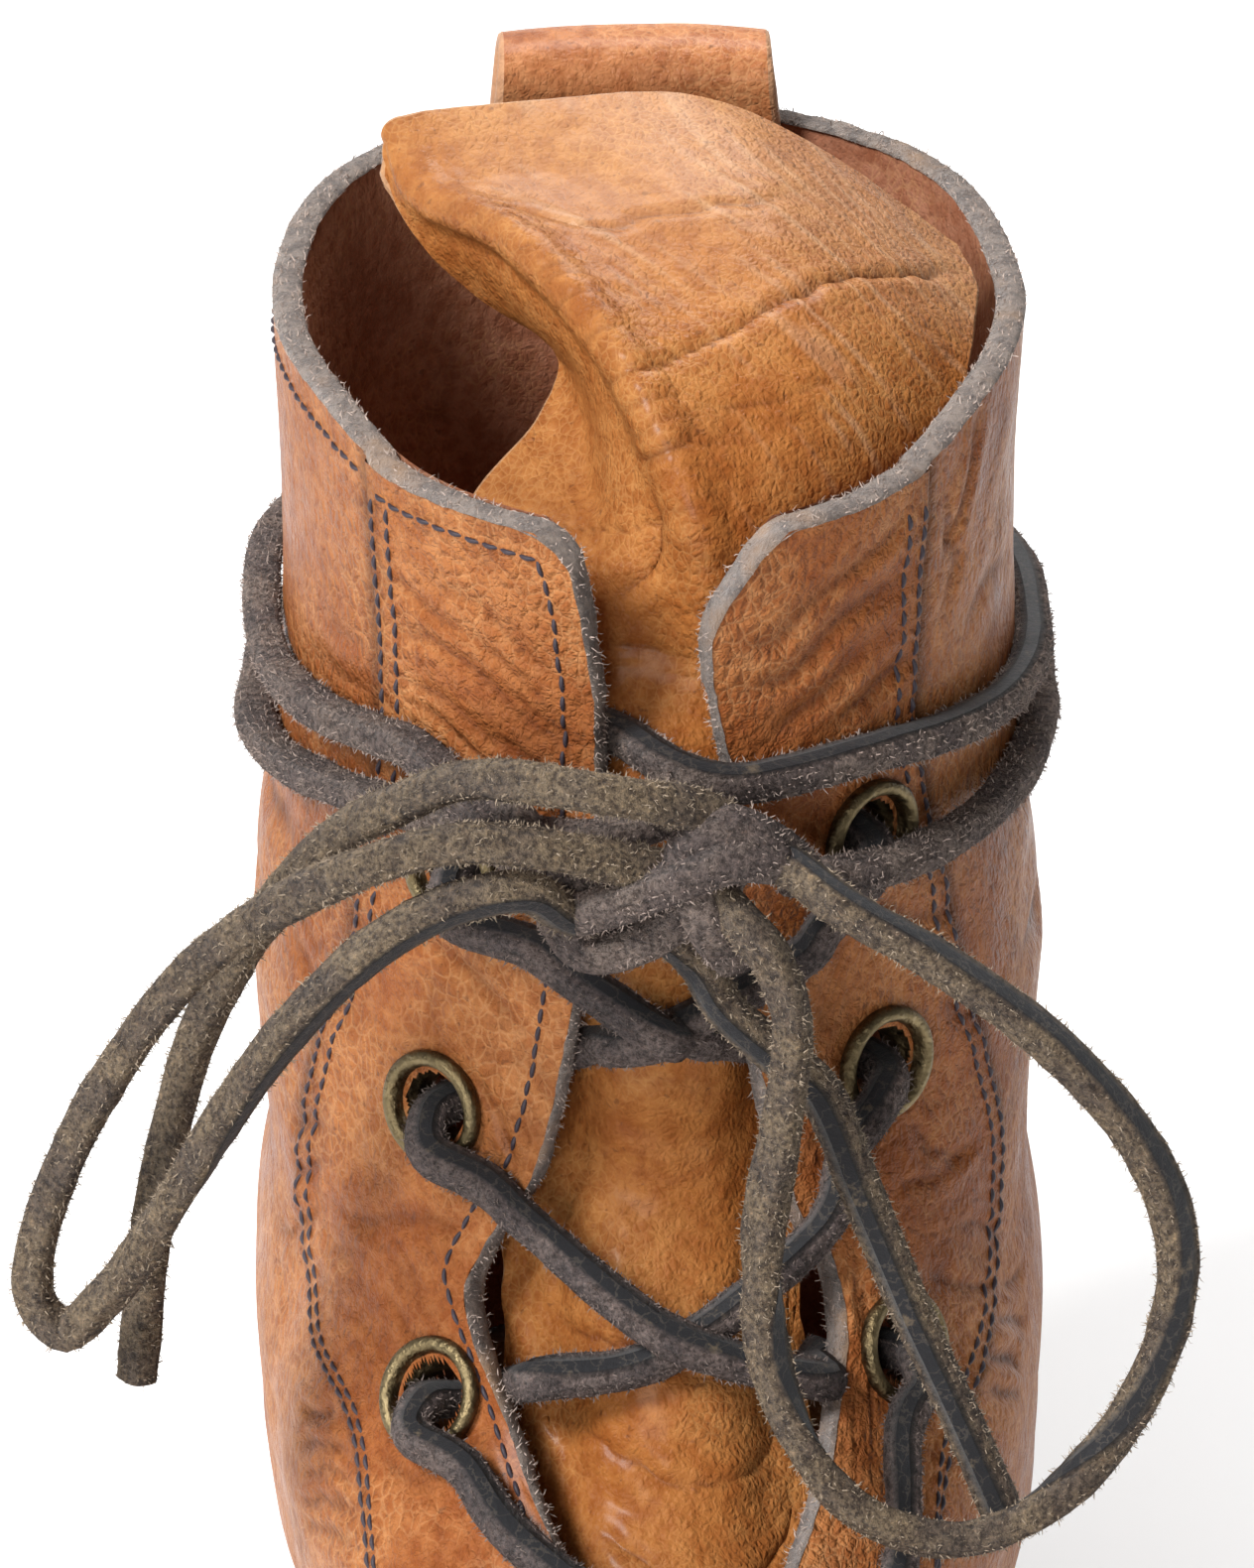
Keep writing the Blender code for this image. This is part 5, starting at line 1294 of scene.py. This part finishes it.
bar_ends = []
for side in SIDES:
    seat, normal, up = eyelet_seats[3, side]
    lead = -SKIN.place(*eyelet_place(3, side))[2] * side
    own = [
        seat - normal * 0.006,
        seat - normal * 0.002,
        seat + normal * 0.0018 + lead * 0.001 - up * 0.0006,
        seat + normal * 0.0034 + lead * 0.0045 - up * 0.002,
    ]
    bar_ends.append(own if side < 0 else own[::-1])
(outer_level, outer_girth), (inner_level, inner_girth) = (eyelet_place(3, side) for side in SIDES)
bar = []
for share in (0.2, 0.35, 0.5, 0.65, 0.8):
    sag = 0.006 * math.sin(math.pi * share)
    level = outer_level * (1 - share) + inner_level * share
    girth = outer_girth * (1 - share) + inner_girth * share
    bar.append(above_skin((1 - level) * SKIN.front_length + sag, girth, OVER + 0.0004))
facing = ((0, (0, 0, 1)), (1, (0, 0, 1)))
lace("lacing_bar", bar_ends[0] + bar + bar_ends[1], facing, LACED_LACE, 131, ("lace_bar",))

# Where the two ends run round the shaft. turn: degrees from the front, positive to the inner
# side. height: share of the collar height. lift: off the skin, in lace widths.
UPPER_TURN = {
    "turn": (-13, -9.5, -5, 0, 4.5, 10, 25, 42, 65, 90, 120, 150, 180, 210, 240, 266, 285, 306, 322, 331),
    "height": (
        *(0.862, 0.862, 0.860, 0.857, 0.853, 0.850, 0.845, 0.828, 0.808, 0.798),
        *(0.795, 0.800, 0.803, 0.806, 0.813, 0.817, 0.812, 0.824, 0.838, 0.842),
    ),
    "lift": (
        *(-1.2, -1.15, -0.85, 0.05, 0.70, 0.85, 0.72, 0.60, 0.56, 0.56),
        *(0.56, 0.56, 0.56, 0.56, 0.56, 0.56, 0.58, 0.66, 0.80, 0.92),
    ),
}
LOWER_TURN = {
    "turn": (
        *(13, 9.5, 5, 0, -4.5, -10, -25, -36, -50, -72, -98),
        *(-125, -150, -180, -210, -240, -266, -290, -310, -326, -337, -344),
    ),
    "height": (
        *(0.822, 0.825, 0.826, 0.825, 0.822, 0.817, 0.810, 0.800, 0.785, 0.762, 0.745),
        *(0.745, 0.750, 0.757, 0.757, 0.755, 0.750, 0.757, 0.765, 0.775, 0.785, 0.792),
    ),
    "lift": (
        *(-1.2, -1.15, -0.85, 0.05, 0.62, 0.85, 0.95, 0.80, 0.62, 0.56, 0.56),
        *(0.56, 0.56, 0.56, 0.56, 0.56, 0.56, 0.60, 0.78, 1.10, 1.40, 1.55),
    ),
}


def round_the_shaft(table):
    points = []
    for turn, height, lift in zip(table["turn"], table["height"], table["lift"]):
        angle = (math.radians(turn) + math.pi) % (2 * math.pi) - math.pi
        point, normal = SKIN.at_height(height * COLLAR_HEIGHT, angle)
        points.append(point + normal * lift * LACE_WIDTH)
    return points


up_facing = ((0, (0, -0.2, 1)), (0.12, (0, -0.2, 1)), (0.3, (0, 0.2, 1)), (1, (0, 0.1, -1)))
TO_THE_KNOT = np.array([(-17.2, -85.5, 166.8), (-12.0, -89.5, 164.6), (-6.0, -90.5, 163.0)]) / 1000
upper_route = [*round_the_shaft(UPPER_TURN), *TO_THE_KNOT]
lace("lace_round_upper", upper_route, up_facing, WOUND_LACE, 141, ("lace_turn_upper",))
down_facing = ((0, (0, 0, -1)), (0.5, (0, 0, -1)), (1, (0, 0.2, -1)))
lower_route = round_the_shaft(LOWER_TURN)
lace("lace_round_lower", lower_route, down_facing, WOUND_LACE, 151, ("lace_turn_lower",))
KNOT_STRANDS = (
    ((-17.5, -80.5, 170.0), (-14.0, -87, 167.0), (-11.8, -90, 161.5), (-8.5, -91.5, 157.0),
     (-3.5, -93, 158.5), (2.0, -93, 162.5), (8.0, -91.5, 168.5)),
    ((13.5, -81.1, 158.6), (13.6, -87.0, 163.5), (9.5, -92.5, 170.0), (5.0, -94.0, 172.6),
     (1.2, -94.5, 169.0), (3.6, -95.0, 162.0), (6.5, -92.0, 156.0)),
    ((-9.5, -93.6, 162.3), (-6.0, -95.5, 164.5), (0.5, -96, 167.5), (6.0, -95.5, 169.5),
     (11.0, -93.4, 168.0)),
)
for order, route in enumerate(KNOT_STRANDS):
    lace(
        f"knot_strand_{order + 1}", np.array(route) / 1000, ((0, (0, 1, 0.2)), (1, (0, 1, 0.2))),
        WOUND_LACE, 161 + order, ("lace_knot",) if order == 0 else (),
    )

# The tongue: one soft sheet of lighter, yellower calf behind the lacing. Above the collar it
# leans back and folds into a sharp ridge, with long creases and fine parallel wrinkles.
TONGUE_THICKNESS = 0.0020
TONGUE_HALF_WIDTH = 0.36
TONGUE_UNDER_VAMP = 0.012
TONGUE_TOP = {
    "x": (
        (-0.285, -0.150, 0.045, 0.170, 0.285),
        (-0.235, -0.105, 0.050, 0.205, 0.315),
        (-0.145, -0.075, 0.022, 0.215, 0.380),
        (-0.118, -0.095, -0.054, 0.190, 0.400),
        (-0.220, -0.205, -0.172, 0.150, 0.415),
        (-0.305, -0.306, -0.290, 0.100, 0.425),
        (-0.350, -0.345, -0.322, 0.055, 0.405),
    ),
    "y": (
        (0.270, 0.355, 0.398, 0.350, 0.270),
        (0.220, 0.318, 0.398, 0.335, 0.235),
        (0.150, 0.245, 0.372, 0.315, 0.205),
        (0.075, 0.150, 0.272, 0.245, 0.147),
        (0.010, 0.045, 0.125, 0.130, 0.088),
        (-0.025, -0.020, 0.008, 0.010, 0.020),
        (-0.050, -0.060, -0.074, -0.088, -0.030),
    ),
    "z": (
        (0.890, 0.885, 0.880, 0.885, 0.895),
        (0.935, 0.928, 0.932, 0.935, 0.940),
        (0.965, 0.955, 0.982, 0.985, 0.975),
        (0.990, 0.995, 1.032, 1.030, 0.990),
        (1.008, 1.022, 1.060, 1.062, 1.000),
        (1.036, 1.045, 1.064, 1.080, 1.008),
        (1.060, 1.068, 1.086, 1.092, 1.018),
    ),
}
TONGUE_ROWS = 330
TONGUE_COLUMNS = 176


def finer(rows, columns_count, rows_count):
    """A smooth finer grid of points through a coarse one, its rows evenly spaced."""
    rows = np.asarray(rows, float)
    run = length_along(rows[:, rows.shape[1] // 2])
    even = np.interp(np.linspace(0, run[-1], rows_count), run, np.arange(len(run)))
    for axis, where in ((1, np.linspace(0, rows.shape[1] - 1, columns_count)), (0, even)):
        rows = np.moveaxis(rows, axis, 0)
        padded = np.concatenate([[2 * rows[0] - rows[1]], rows, [2 * rows[-1] - rows[-2]]])
        low = np.minimum(where.astype(int), len(rows) - 2)
        t = (where - low)[:, None, None]
        a, b, c, d = (padded[low + k] for k in range(4))
        curve = 2 * b + (c - a) * t + (2 * a - 5 * b + 4 * c - d) * t**2
        rows = 0.5 * (curve + (3 * b - a - 3 * c + d) * t**3)
        rows = np.moveaxis(rows, 0, axis)
    return rows


def tongue_rows():
    across = np.linspace(-1, 1, 9)
    rows = []
    bottom = THROAT_LENGTH + TONGUE_UNDER_VAMP
    dives = [(1 - eyelet_place(row, side)[0]) * SKIN.front_length for row in (1, 2, 3) for side in SIDES]
    for share in np.linspace(0, 1, 26):
        down_here = bottom + share * (0.17 * THROAT_LENGTH - bottom)
        level = float(SKIN.level_down(down_here))
        half = TONGUE_HALF_WIDTH * COLLAR_WIDTH * (0.62 + 0.38 * min(share * 2.2, 1))
        near = float(ease(0, 0.16, share))
        pressed = max(math.exp(-(((down_here - each + 0.006) / 0.010) ** 2)) for each in dives)
        row = []
        for place in across:
            point, normal = SKIN.place(level, place * half)[:2]
            middle = 1 - min(abs(place) * 1.9, 1) ** 2
            deep = WALL + 0.0018 + near * (0.0046 - 0.0064 * middle * (1 - 0.55 * pressed))
            row.append(point - normal * deep)
        rows.append(row)
    places = np.linspace(0, 4, 9)
    table = {"place": (0, 1, 2, 3, 4)}
    for x, y, z in zip(TONGUE_TOP["x"], TONGUE_TOP["y"], TONGUE_TOP["z"]):
        table.update(x=x, y=y, z=z)
        rows.append(
            np.stack(
                [
                    along_table(table, "x", places) * COLLAR_WIDTH,
                    AXIS_Y - along_table(table, "y", places) * COLLAR_DEPTH,
                    along_table(table, "z", places) * COLLAR_HEIGHT,
                ],
                axis=1,
            )
        )
    return finer(rows, TONGUE_COLUMNS, TONGUE_ROWS)


def sheet_normals(rows):
    along = np.gradient(rows, axis=0)
    around = np.gradient(rows, axis=1)
    return unit(np.cross(around, along))


TONGUE_LEATHER = leather(
    "tongue_leather", (0.375, 0.152, 0.044), (0.325, 0.116, 0.029), (0.22, 0.068, 0.018),
    0.45, 1050, (0.55, 0.31, 0.12), 0.22,
)


def soft_sheet(name, rows, thickness, material, replaces, crease_shade, pale_and_sheen=0.0):
    """A sheet with a rounded rim: its face, its plainer back and the turned edge between them."""
    rim_steps = 6
    normals = sheet_normals(rows)
    half = thickness / 2
    face = rows + normals * half
    every = [np.unique(np.append(np.arange(0, n, 3), n - 1)) for n in rows.shape[:2]]
    back = (rows - normals * half)[np.ix_(*every)]
    rim, rim_normal, inner = (
        np.concatenate([grid[at[0]], grid[1:, at[1]], grid[at[2], -2::-1], grid[-2:0:-1, at[3]]])
        for grid, at in ((rows, (0, -1, -1, 0)), (normals, (0, -1, -1, 0)), (rows, (1, -2, -2, 1)))
    )
    away = unit(rim - inner)
    turn = np.linspace(0, math.pi, rim_steps)
    ring = rim[:, None] + rim_normal[:, None] * (half * np.cos(turn))[None, :, None]
    ring = ring + away[:, None] * (0.6 * half * np.sin(turn))[None, :, None]
    around = np.vstack([np.arange(len(rim) * rim_steps).reshape(-1, rim_steps), np.arange(rim_steps)])
    edge_faces = np.stack([around[:-1, :-1], around[1:, :-1], around[1:, 1:], around[:-1, 1:]], axis=-1)
    points = [face.reshape(-1, 3), back.reshape(-1, 3), ring.reshape(-1, 3)]
    first = np.cumsum([0, len(points[0]), len(points[1])])
    faces = [
        grid_faces(*face.shape[:2])[:, ::-1],
        grid_faces(*back.shape[:2]) + first[1],
        edge_faces.reshape(-1, 4) + first[2],
    ]
    plain = [np.zeros(len(part)) for part in points[1:]]
    values = {
        # Painted crease shade, on the face only.
        "crease_shade": np.concatenate([np.ravel(crease_shade), *plain]),
        "seam_shade": np.zeros(sum(len(part) for part in points)),
        # Pale veins and a painted sheen on the face; the turned rim is half pale, like a raw edge.
        "pale_and_sheen": np.concatenate([np.ravel(pale_and_sheen + 0 * np.asarray(crease_shade)), plain[0], plain[1] + 0.5]),
    }
    return piece(name, np.vstack(points), np.vstack(faces), material, replaces, values)


# Creases of the tongue: millimetres across from its middle line and up from its foot, depth and
# width in millimetres. Its ridge is the middle line itself, from 172 mm up. A crease's depth also
# sets how dark its painted shade is.
TONGUE_CREASES = (
    (((-1, 239), (4, 236), (7, 232), (10, 231), (15, 233), (22, 234), (27, 235), (42, 244)), 0.35, 0.7),
    (((-3, 208), (2, 208), (9, 211), (15, 214), (23, 219), (34, 226), (49, 236), (62, 247)), 0.45, 0.7),
    (((-5, 199), (1, 199), (4, 201)), 0.35, 0.6),
    (((5, 203), (13, 203), (20, 205)), 0.22, 0.7),
    (((-20, 186), (-15, 188), (-6, 191), (-2, 192)), 0.30, 0.6),
    (((-13, 176), (-7, 177), (2, 176)), 0.30, 0.6),
    (((-9, 182), (-5, 187), (-3, 195)), 0.50, 1.0),
    (((-16, 92), (-4, 95), (10, 92), (20, 94)), 0.35, 0.9),
    (((-12, 84), (2, 82), (16, 85)), 0.30, 0.8),
    (((-8, 73), (6, 71), (18, 74)), 0.35, 0.9),
    (((-18, 60), (-4, 63), (14, 60)), 0.30, 0.8),
    (((-14, 48), (4, 45), (16, 49)), 0.35, 0.9),
    (((-10, 34), (6, 36), (18, 32)), 0.30, 0.9),
)
RIDGE_START = 172
RIDGE_STEP = 2.3
rows = tongue_rows()
normals = sheet_normals(rows)
middle = TONGUE_COLUMNS // 2
tongue_width = np.stack([length_along(row) for row in rows])
u = (tongue_width - tongue_width[:, middle : middle + 1]) * 1000
v = np.repeat(length_along(rows[:, middle])[:, None] * 1000, TONGUE_COLUMNS, axis=1)
top = ease(168, 182, v)
height = 0.22 * ripple(u, v, 11, 61) + 0.10 * ripple(u * 0.45, v, 2.6, 62)
height += 0.9 * top * ease(253, 236, v) * np.exp(-(((u - 0.6) / 1.9) ** 2))
height -= 0.9 * top * ease(253, 236, v) * np.exp(-(((u + 5.0) / 3.2) ** 2))
on_ridge = top * np.exp(-(((u - 2.6) / 3.4) ** 2))
height += on_ridge * (0.17 * ripple(u, v, 1.1, 66) + 0.10 * ripple(u, v, 0.75, 67))
# Painted shade darkens the small wrinkles across the ridge and, below, each long crease.
crease_shade = np.zeros_like(u)
for k, place in enumerate(np.arange(RIDGE_START + 3, 236, RIDGE_STEP)):
    place = place + 0.8 * math.sin(5.1 * k)
    reach = 3.2 + 1.8 * math.sin(2.7 * k)
    across = np.exp(-(((u - 1.2) / reach) ** 2))
    gap = v - place - 0.12 * u - 0.35 * ripple(u, v, 2.0, 68)
    height -= (0.20 + 0.09 * math.sin(7 * k)) * across * np.exp(-((gap / 0.42) ** 2))
    crease_shade = np.maximum(crease_shade, 0.45 * across * np.exp(-((gap / 0.30) ** 2)))
strings = ripple(u + 0.28 * v, v * 0.09, 1.05, 69)
beside = top * ease(3, 9, u)
height += 0.055 * beside * strings
# Pale veins along the strings beside the ridge, and a painted sheen that pales the tongue's top right of
# the ridge.
pale_and_sheen = 0.30 * beside * np.clip((strings - 0.35) / 0.5, 0, 1) + 0.22 * ease(205, 245, v) * ease(-6, 10, u)
low = 1 - top
height += low * (0.16 * ripple(u * 0.5, v, 3.0, 70) + 0.10 * ripple(u, v, 1.6, 71))
wavy_u = u + 0.5 * ripple(u, v, 3, 64)
wavy_v = v + 0.5 * ripple(u, v, 3, 65)
for line, depth, width in TONGUE_CREASES:
    gap, share = distance_to_line(wavy_u, wavy_v, line)
    fade = np.minimum(1, 5 * np.minimum(share, 1 - share) + 0.2)
    height -= depth * fade * np.exp(-((gap / width) ** 2))
    height += 0.4 * depth * fade * np.exp(-(((gap - 2.1 * width) / (1.2 * width)) ** 2))
    crease_shade = np.maximum(crease_shade, fade * min(2.4 * depth, 1) * np.exp(-((gap / (0.45 * width)) ** 2)))
rows = rows + normals * (height / 1000)[..., None]
soft_sheet(
    "tongue_sheet", rows, TONGUE_THICKNESS, TONGUE_LEATHER, ("tongue",), crease_shade, pale_and_sheen
)

# The pull loop: a strap of the same calf sewn up the back seam, over the collar and down
# inside, standing off it far enough for a finger.
LOOP_THICKNESS = 0.0022
LOOP_WIDTH = 0.030
LOOP_RISE = 0.0082
LOOP_HOLE = 0.0075
LOOP_LEG = 0.034
LOOP_ROWS = 220
LOOP_COLUMNS = 70
LOOP_LEATHER = leather("loop_leather", (0.46, 0.20, 0.085), (0.40, 0.155, 0.060), (0.25, 0.085, 0.035), 0.5)


def loop_rows():
    collar = float(along_table(COLLAR, "rise", 1.0)) * COLLAR_HEIGHT
    half = LOOP_THICKNESS / 2
    across = np.linspace(-1, 1, 9)
    rows = []

    def behind(z, place):
        turned = math.pi - abs(place * LOOP_WIDTH / COLLAR_DEPTH) * 1.05
        point, normal = SKIN.at_height(z, turned)
        return math.copysign(1, place) * abs(point[0]), point[1] + (half + 0.0006) * abs(normal[1]), z

    for z in np.linspace(collar - LOOP_LEG, collar - 0.001, 7):
        rows.append([behind(z, place) for place in across])
    base = rows[-1]
    reach = base[4][1] - (AXIS_Y + COLLAR_DEPTH / 2)
    front = LOOP_HOLE + LOOP_THICKNESS
    turns = {
        "along": (0.0, 0.15, 0.32, 0.46, 0.60, 0.74, 0.87, 1.0),
        "back": (0.0, 0.05, -0.05, -0.40, -0.80, -1.0, -1.0, -0.97),
        "rise": (0.25, 0.58, 0.90, 1.0, 0.92, 0.62, 0.35, -0.20),
    }
    for along in (0.0, 0.12, 0.24, 0.36, 0.47, 0.58, 0.70, 0.82, 0.92, 1.0):
        back = float(along_table(turns, "back", along))
        rise = float(along_table(turns, "rise", along))
        middle = base[4][1] + (back * front if back < 0 else back * reach)
        narrow = 1 - 0.06 * rise
        flat = 1 - 0.5 * along
        z = collar + rise * LOOP_RISE
        rows.append([(x * narrow, middle + (y - base[4][1]) * flat, z) for x, y, _ in base])
    return finer(rows, LOOP_COLUMNS, LOOP_ROWS)


rows = loop_rows()
place_u, place_v = np.meshgrid(np.linspace(-15, 15, LOOP_COLUMNS), np.linspace(0, 80, LOOP_ROWS))
wave = 0.00016 * ripple(place_u, place_v, 6, 71)
rows = rows + sheet_normals(rows) * wave[..., None]
plain = np.zeros(rows.shape[:2])
soft_sheet("pull_loop_strap", rows, LOOP_THICKNESS, LOOP_LEATHER, ("pull_loop",), plain)
strap_normals = sheet_normals(rows)
if strap_normals[40, 35] @ np.array([0, 1, 0]) < 0:
    strap_normals = -strap_normals
for order, column in enumerate((5, 64)):
    line = rows[4:96, column] + strap_normals[4:96, column] * LOOP_THICKNESS / 2
    stitches(f"loop_row_{order + 1}", line, strap_normals[4:96, column], "loop_leather")

# The sole: a leather welt sewn to the upper, a stacked leather outsole with a burnished dark
# edge, and a heel of leather lifts on a rubber top piece. The photograph stops above it.
SOLE_COLUMNS = 220


def foot_outline(grow, count):
    """The last's outline from above, grown by grow, as a closed loop of (x, y)."""
    g = grow / LAST_LENGTH
    share = (1 - np.cos(np.linspace(0, math.pi, count))) / 2 * (1 + 2 * g) - g
    half = foot_half_width(share, grow)
    middle = along_table(LAST, "middle", share) * BALL_WIDTH
    y = LAST_BACK_Y - share * LAST_LENGTH
    inner = np.stack([middle + half, y], axis=1)
    outer = np.stack([middle - half, y], axis=1)
    return np.vstack([inner, outer[-2:0:-1]])


def sole_leather_material():
    look = Finish("sole_leather", roughness=0.5, Coat_Weight=0.1, Coat_Roughness=0.35)
    layers = look.noise(1.0, 2, 0.5, look.stretched((60, 60, 1500)))
    tone = look.mix(look.spread(layers, 0.4, 0.6), (0.085, 0.040, 0.020), (0.150, 0.072, 0.036))
    look.set("Base Color", look.mix(look.spread(look.noise(60, 4), 0.5, 0.7), tone, (0.20, 0.115, 0.065)))
    look.set("Normal", look.bump(look.noise(1100, 4), 0.0003, 0.6))
    return look.material


def rubber_material():
    look = Finish("heel_rubber", roughness=0.7)
    look.set("Base Color", look.mix(look.noise(300, 4), (0.022, 0.020, 0.019), (0.050, 0.046, 0.042)))
    look.set("Normal", look.bump(look.noise(1800, 3), 0.0002, 0.5))
    return look.material


def insole_material():
    look = Finish("insole_leather", roughness=0.85)
    worn = look.spread(look.noise(50, 4), 0.35, 0.65)
    look.set("Base Color", look.mix(worn, (0.42, 0.22, 0.075), (0.26, 0.125, 0.048)))
    look.set("Normal", look.bump(look.noise(1500, 4), 0.0004, 0.6))
    return look.material


SOLE_LEATHER = sole_leather_material()


def rounded_slab(name, outlines, material, replaces, caps=(True, True)):
    """Stacked outlines of (x, y, z) joined into one closed piece with a crowned edge."""
    count = len(outlines[0])
    faces = grid_faces(len(outlines), count, closed=True)[:, ::-1].tolist()
    for which, layer in ((0, 0), (1, len(outlines) - 1)):
        if not caps[which]:
            continue
        half = count // 2
        for i in range(half):
            a, b = i, i + 1
            c, d = (count - i - 1) % count, (count - i) % count
            ring = [layer * count + k for k in dict.fromkeys([a, b, c, d])]
            faces.append(ring if which == 0 else ring[::-1])
    return piece(name, np.vstack(outlines), faces, material, replaces)


def outline_at(inset, lift):
    """The outsole's outline, drawn in by inset and lifted off the sole's underside."""
    flat = foot_outline(WELT_OVERHANG - inset, SOLE_COLUMNS)
    return np.column_stack([flat, sole_underside(flat[:, 1]) + lift])


# Profiles of (inset, lift) from the bottom up: of the outsole above its underside, of the welt
# and the insole above the outsole.
OUTSOLE_PROFILE = (
    (0.0016, 0.0002), (0.0005, 0.0005), (0.0, 0.0012), (-0.0003, 0.0030), (0.0, 0.0048),
    (0.0005, 0.0056), (0.0010, 0.0059),
)
WELT_PROFILE = (
    (0.0008, 0.0002), (0.0001, 0.0006), (0.0, 0.0016), (0.0003, 0.0028), (0.0011, 0.0033),
    (0.0030, 0.0034), (0.0098, 0.0034), (0.0098, 0.0002), (0.0008, 0.0002),
)
INSOLE_PROFILE = ((0.0103, 0.0002), (0.0103, 0.0048))
rounded_slab(
    "outsole_leather",
    [outline_at(*each) for each in OUTSOLE_PROFILE],
    SOLE_LEATHER, ("outsole",),
)
rounded_slab(
    "welt_strip",
    [outline_at(inset, OUTSOLE_THICKNESS + lift) for inset, lift in WELT_PROFILE],
    SOLE_LEATHER, ("welt",), (False, False),
)
welt_row = outline_at(0.0021, OUTSOLE_THICKNESS + 0.0035)
welt_row = np.vstack([welt_row, welt_row[:1]])
stitches("welt_row", welt_row, np.tile([0.0, 0.0, 1.0], (len(welt_row), 1)), "sole_leather")
rounded_slab(
    "insole_board",
    [outline_at(inset, OUTSOLE_THICKNESS + lift) for inset, lift in INSOLE_PROFILE],
    insole_material(), ("insole",),
)

HEEL_BREAST_Y = HEEL_BACK_Y - HEEL_LENGTH
HEEL_LIFTS = ((0.0, 0.0062), (0.0064, 0.0120), (0.0122, 0.0178), (0.0180, 0.0239))
HEEL_TAPER = 0.05
LIFT_ROUND = 0.0005


def heel_outline(height, inset):
    """The heel's outline at a height: the seat's, a little smaller towards the floor."""
    shrink = 1 - HEEL_TAPER * (1 - height / HEEL_HEIGHT)
    flat = foot_outline(WELT_OVERHANG - inset, SOLE_COLUMNS)
    flat[:, 1] = np.maximum(flat[:, 1], HEEL_BREAST_Y + inset)
    wide = float(foot_half_width(0.2, WELT_OVERHANG - inset))
    breast = flat[:, 1] <= HEEL_BREAST_Y + inset
    flat[breast, 0] = np.clip(flat[breast, 0], -wide, wide)
    centre = HEEL_BACK_Y - HEEL_LENGTH / 2
    x = flat[:, 0] * shrink
    y = centre + (flat[:, 1] - centre) * shrink
    return np.column_stack([x, y, np.full(len(flat), height)])


for order, (low, high) in enumerate(HEEL_LIFTS):
    rounded_slab(
        f"heel_lift_{order + 1}",
        [
            heel_outline(low, LIFT_ROUND),
            heel_outline(low + LIFT_ROUND, 0.0),
            heel_outline(high - LIFT_ROUND, 0.0),
            heel_outline(high, LIFT_ROUND),
        ],
        rubber_material() if order == 0 else SOLE_LEATHER,
        ("heel",) if order == 0 else (),
    )

# The studio: a white floor that rises into a white backdrop, a soft light from the upper left, a
# softer one in front, a weak one above, one that brightens the backdrop, and a white surround.
floor_look = Finish("studio_white", roughness=0.9)
floor_look.set("Base Color", (0.82, 0.82, 0.82))
sweep = [(-3, 0.0), (0.6, 0.0), (1.0, 0.05), (1.35, 0.25), (1.5, 0.7), (1.5, 3.0)]
floor_points = [(x, y, z) for x in (-3.0, 3.0) for y, z in sweep]
floor_mesh = bpy.data.meshes.new("studio_floor")
floor_mesh.from_pydata(floor_points, [], [(k, k + 6, k + 7, k + 1) for k in range(5)])
floor_mesh.polygons.foreach_set("use_smooth", [True] * 5)
floor_mesh.materials.append(floor_look.material)
floor = bpy.data.objects.new("studio_floor", floor_mesh)
bpy.context.scene.collection.objects.link(floor)


def soft_light(name, place, target, size, watts):
    light = bpy.data.lights.new(name, "AREA")
    light.shape = "SQUARE"
    light.size = size
    light.energy = watts
    made = bpy.data.objects.new(name, light)
    bpy.context.scene.collection.objects.link(made)
    made.location = place
    made.rotation_mode = "QUATERNION"
    made.rotation_quaternion = (Vector(target) - Vector(place)).to_track_quat("-Z", "Y")


soft_light("key_light", (-0.78, -0.68, 1.24), (0, -0.05, 0.12), 0.40, 29)
soft_light("top_light", (-0.1, 0.15, 1.4), (0, -0.05, 0.12), 0.7, 1.0)
soft_light("front_light", (-0.38, -1.40, 0.62), (0, -0.05, 0.12), 0.6, 11.0)
soft_light("back_light", (0.08, 0.60, 0.9), (0.08, 0.60, 0.0), 0.5, 12.0)
world = bpy.data.worlds.new("studio_surround")
bpy.context.scene.world = world
world.use_nodes = True
world.node_tree.nodes["Background"].inputs["Color"].default_value = (1, 1, 1, 1)
world.node_tree.nodes["Background"].inputs["Strength"].default_value = 0.15
bpy.context.scene.view_settings.view_transform = "Standard"
bpy.context.scene.view_settings.exposure = 0.0
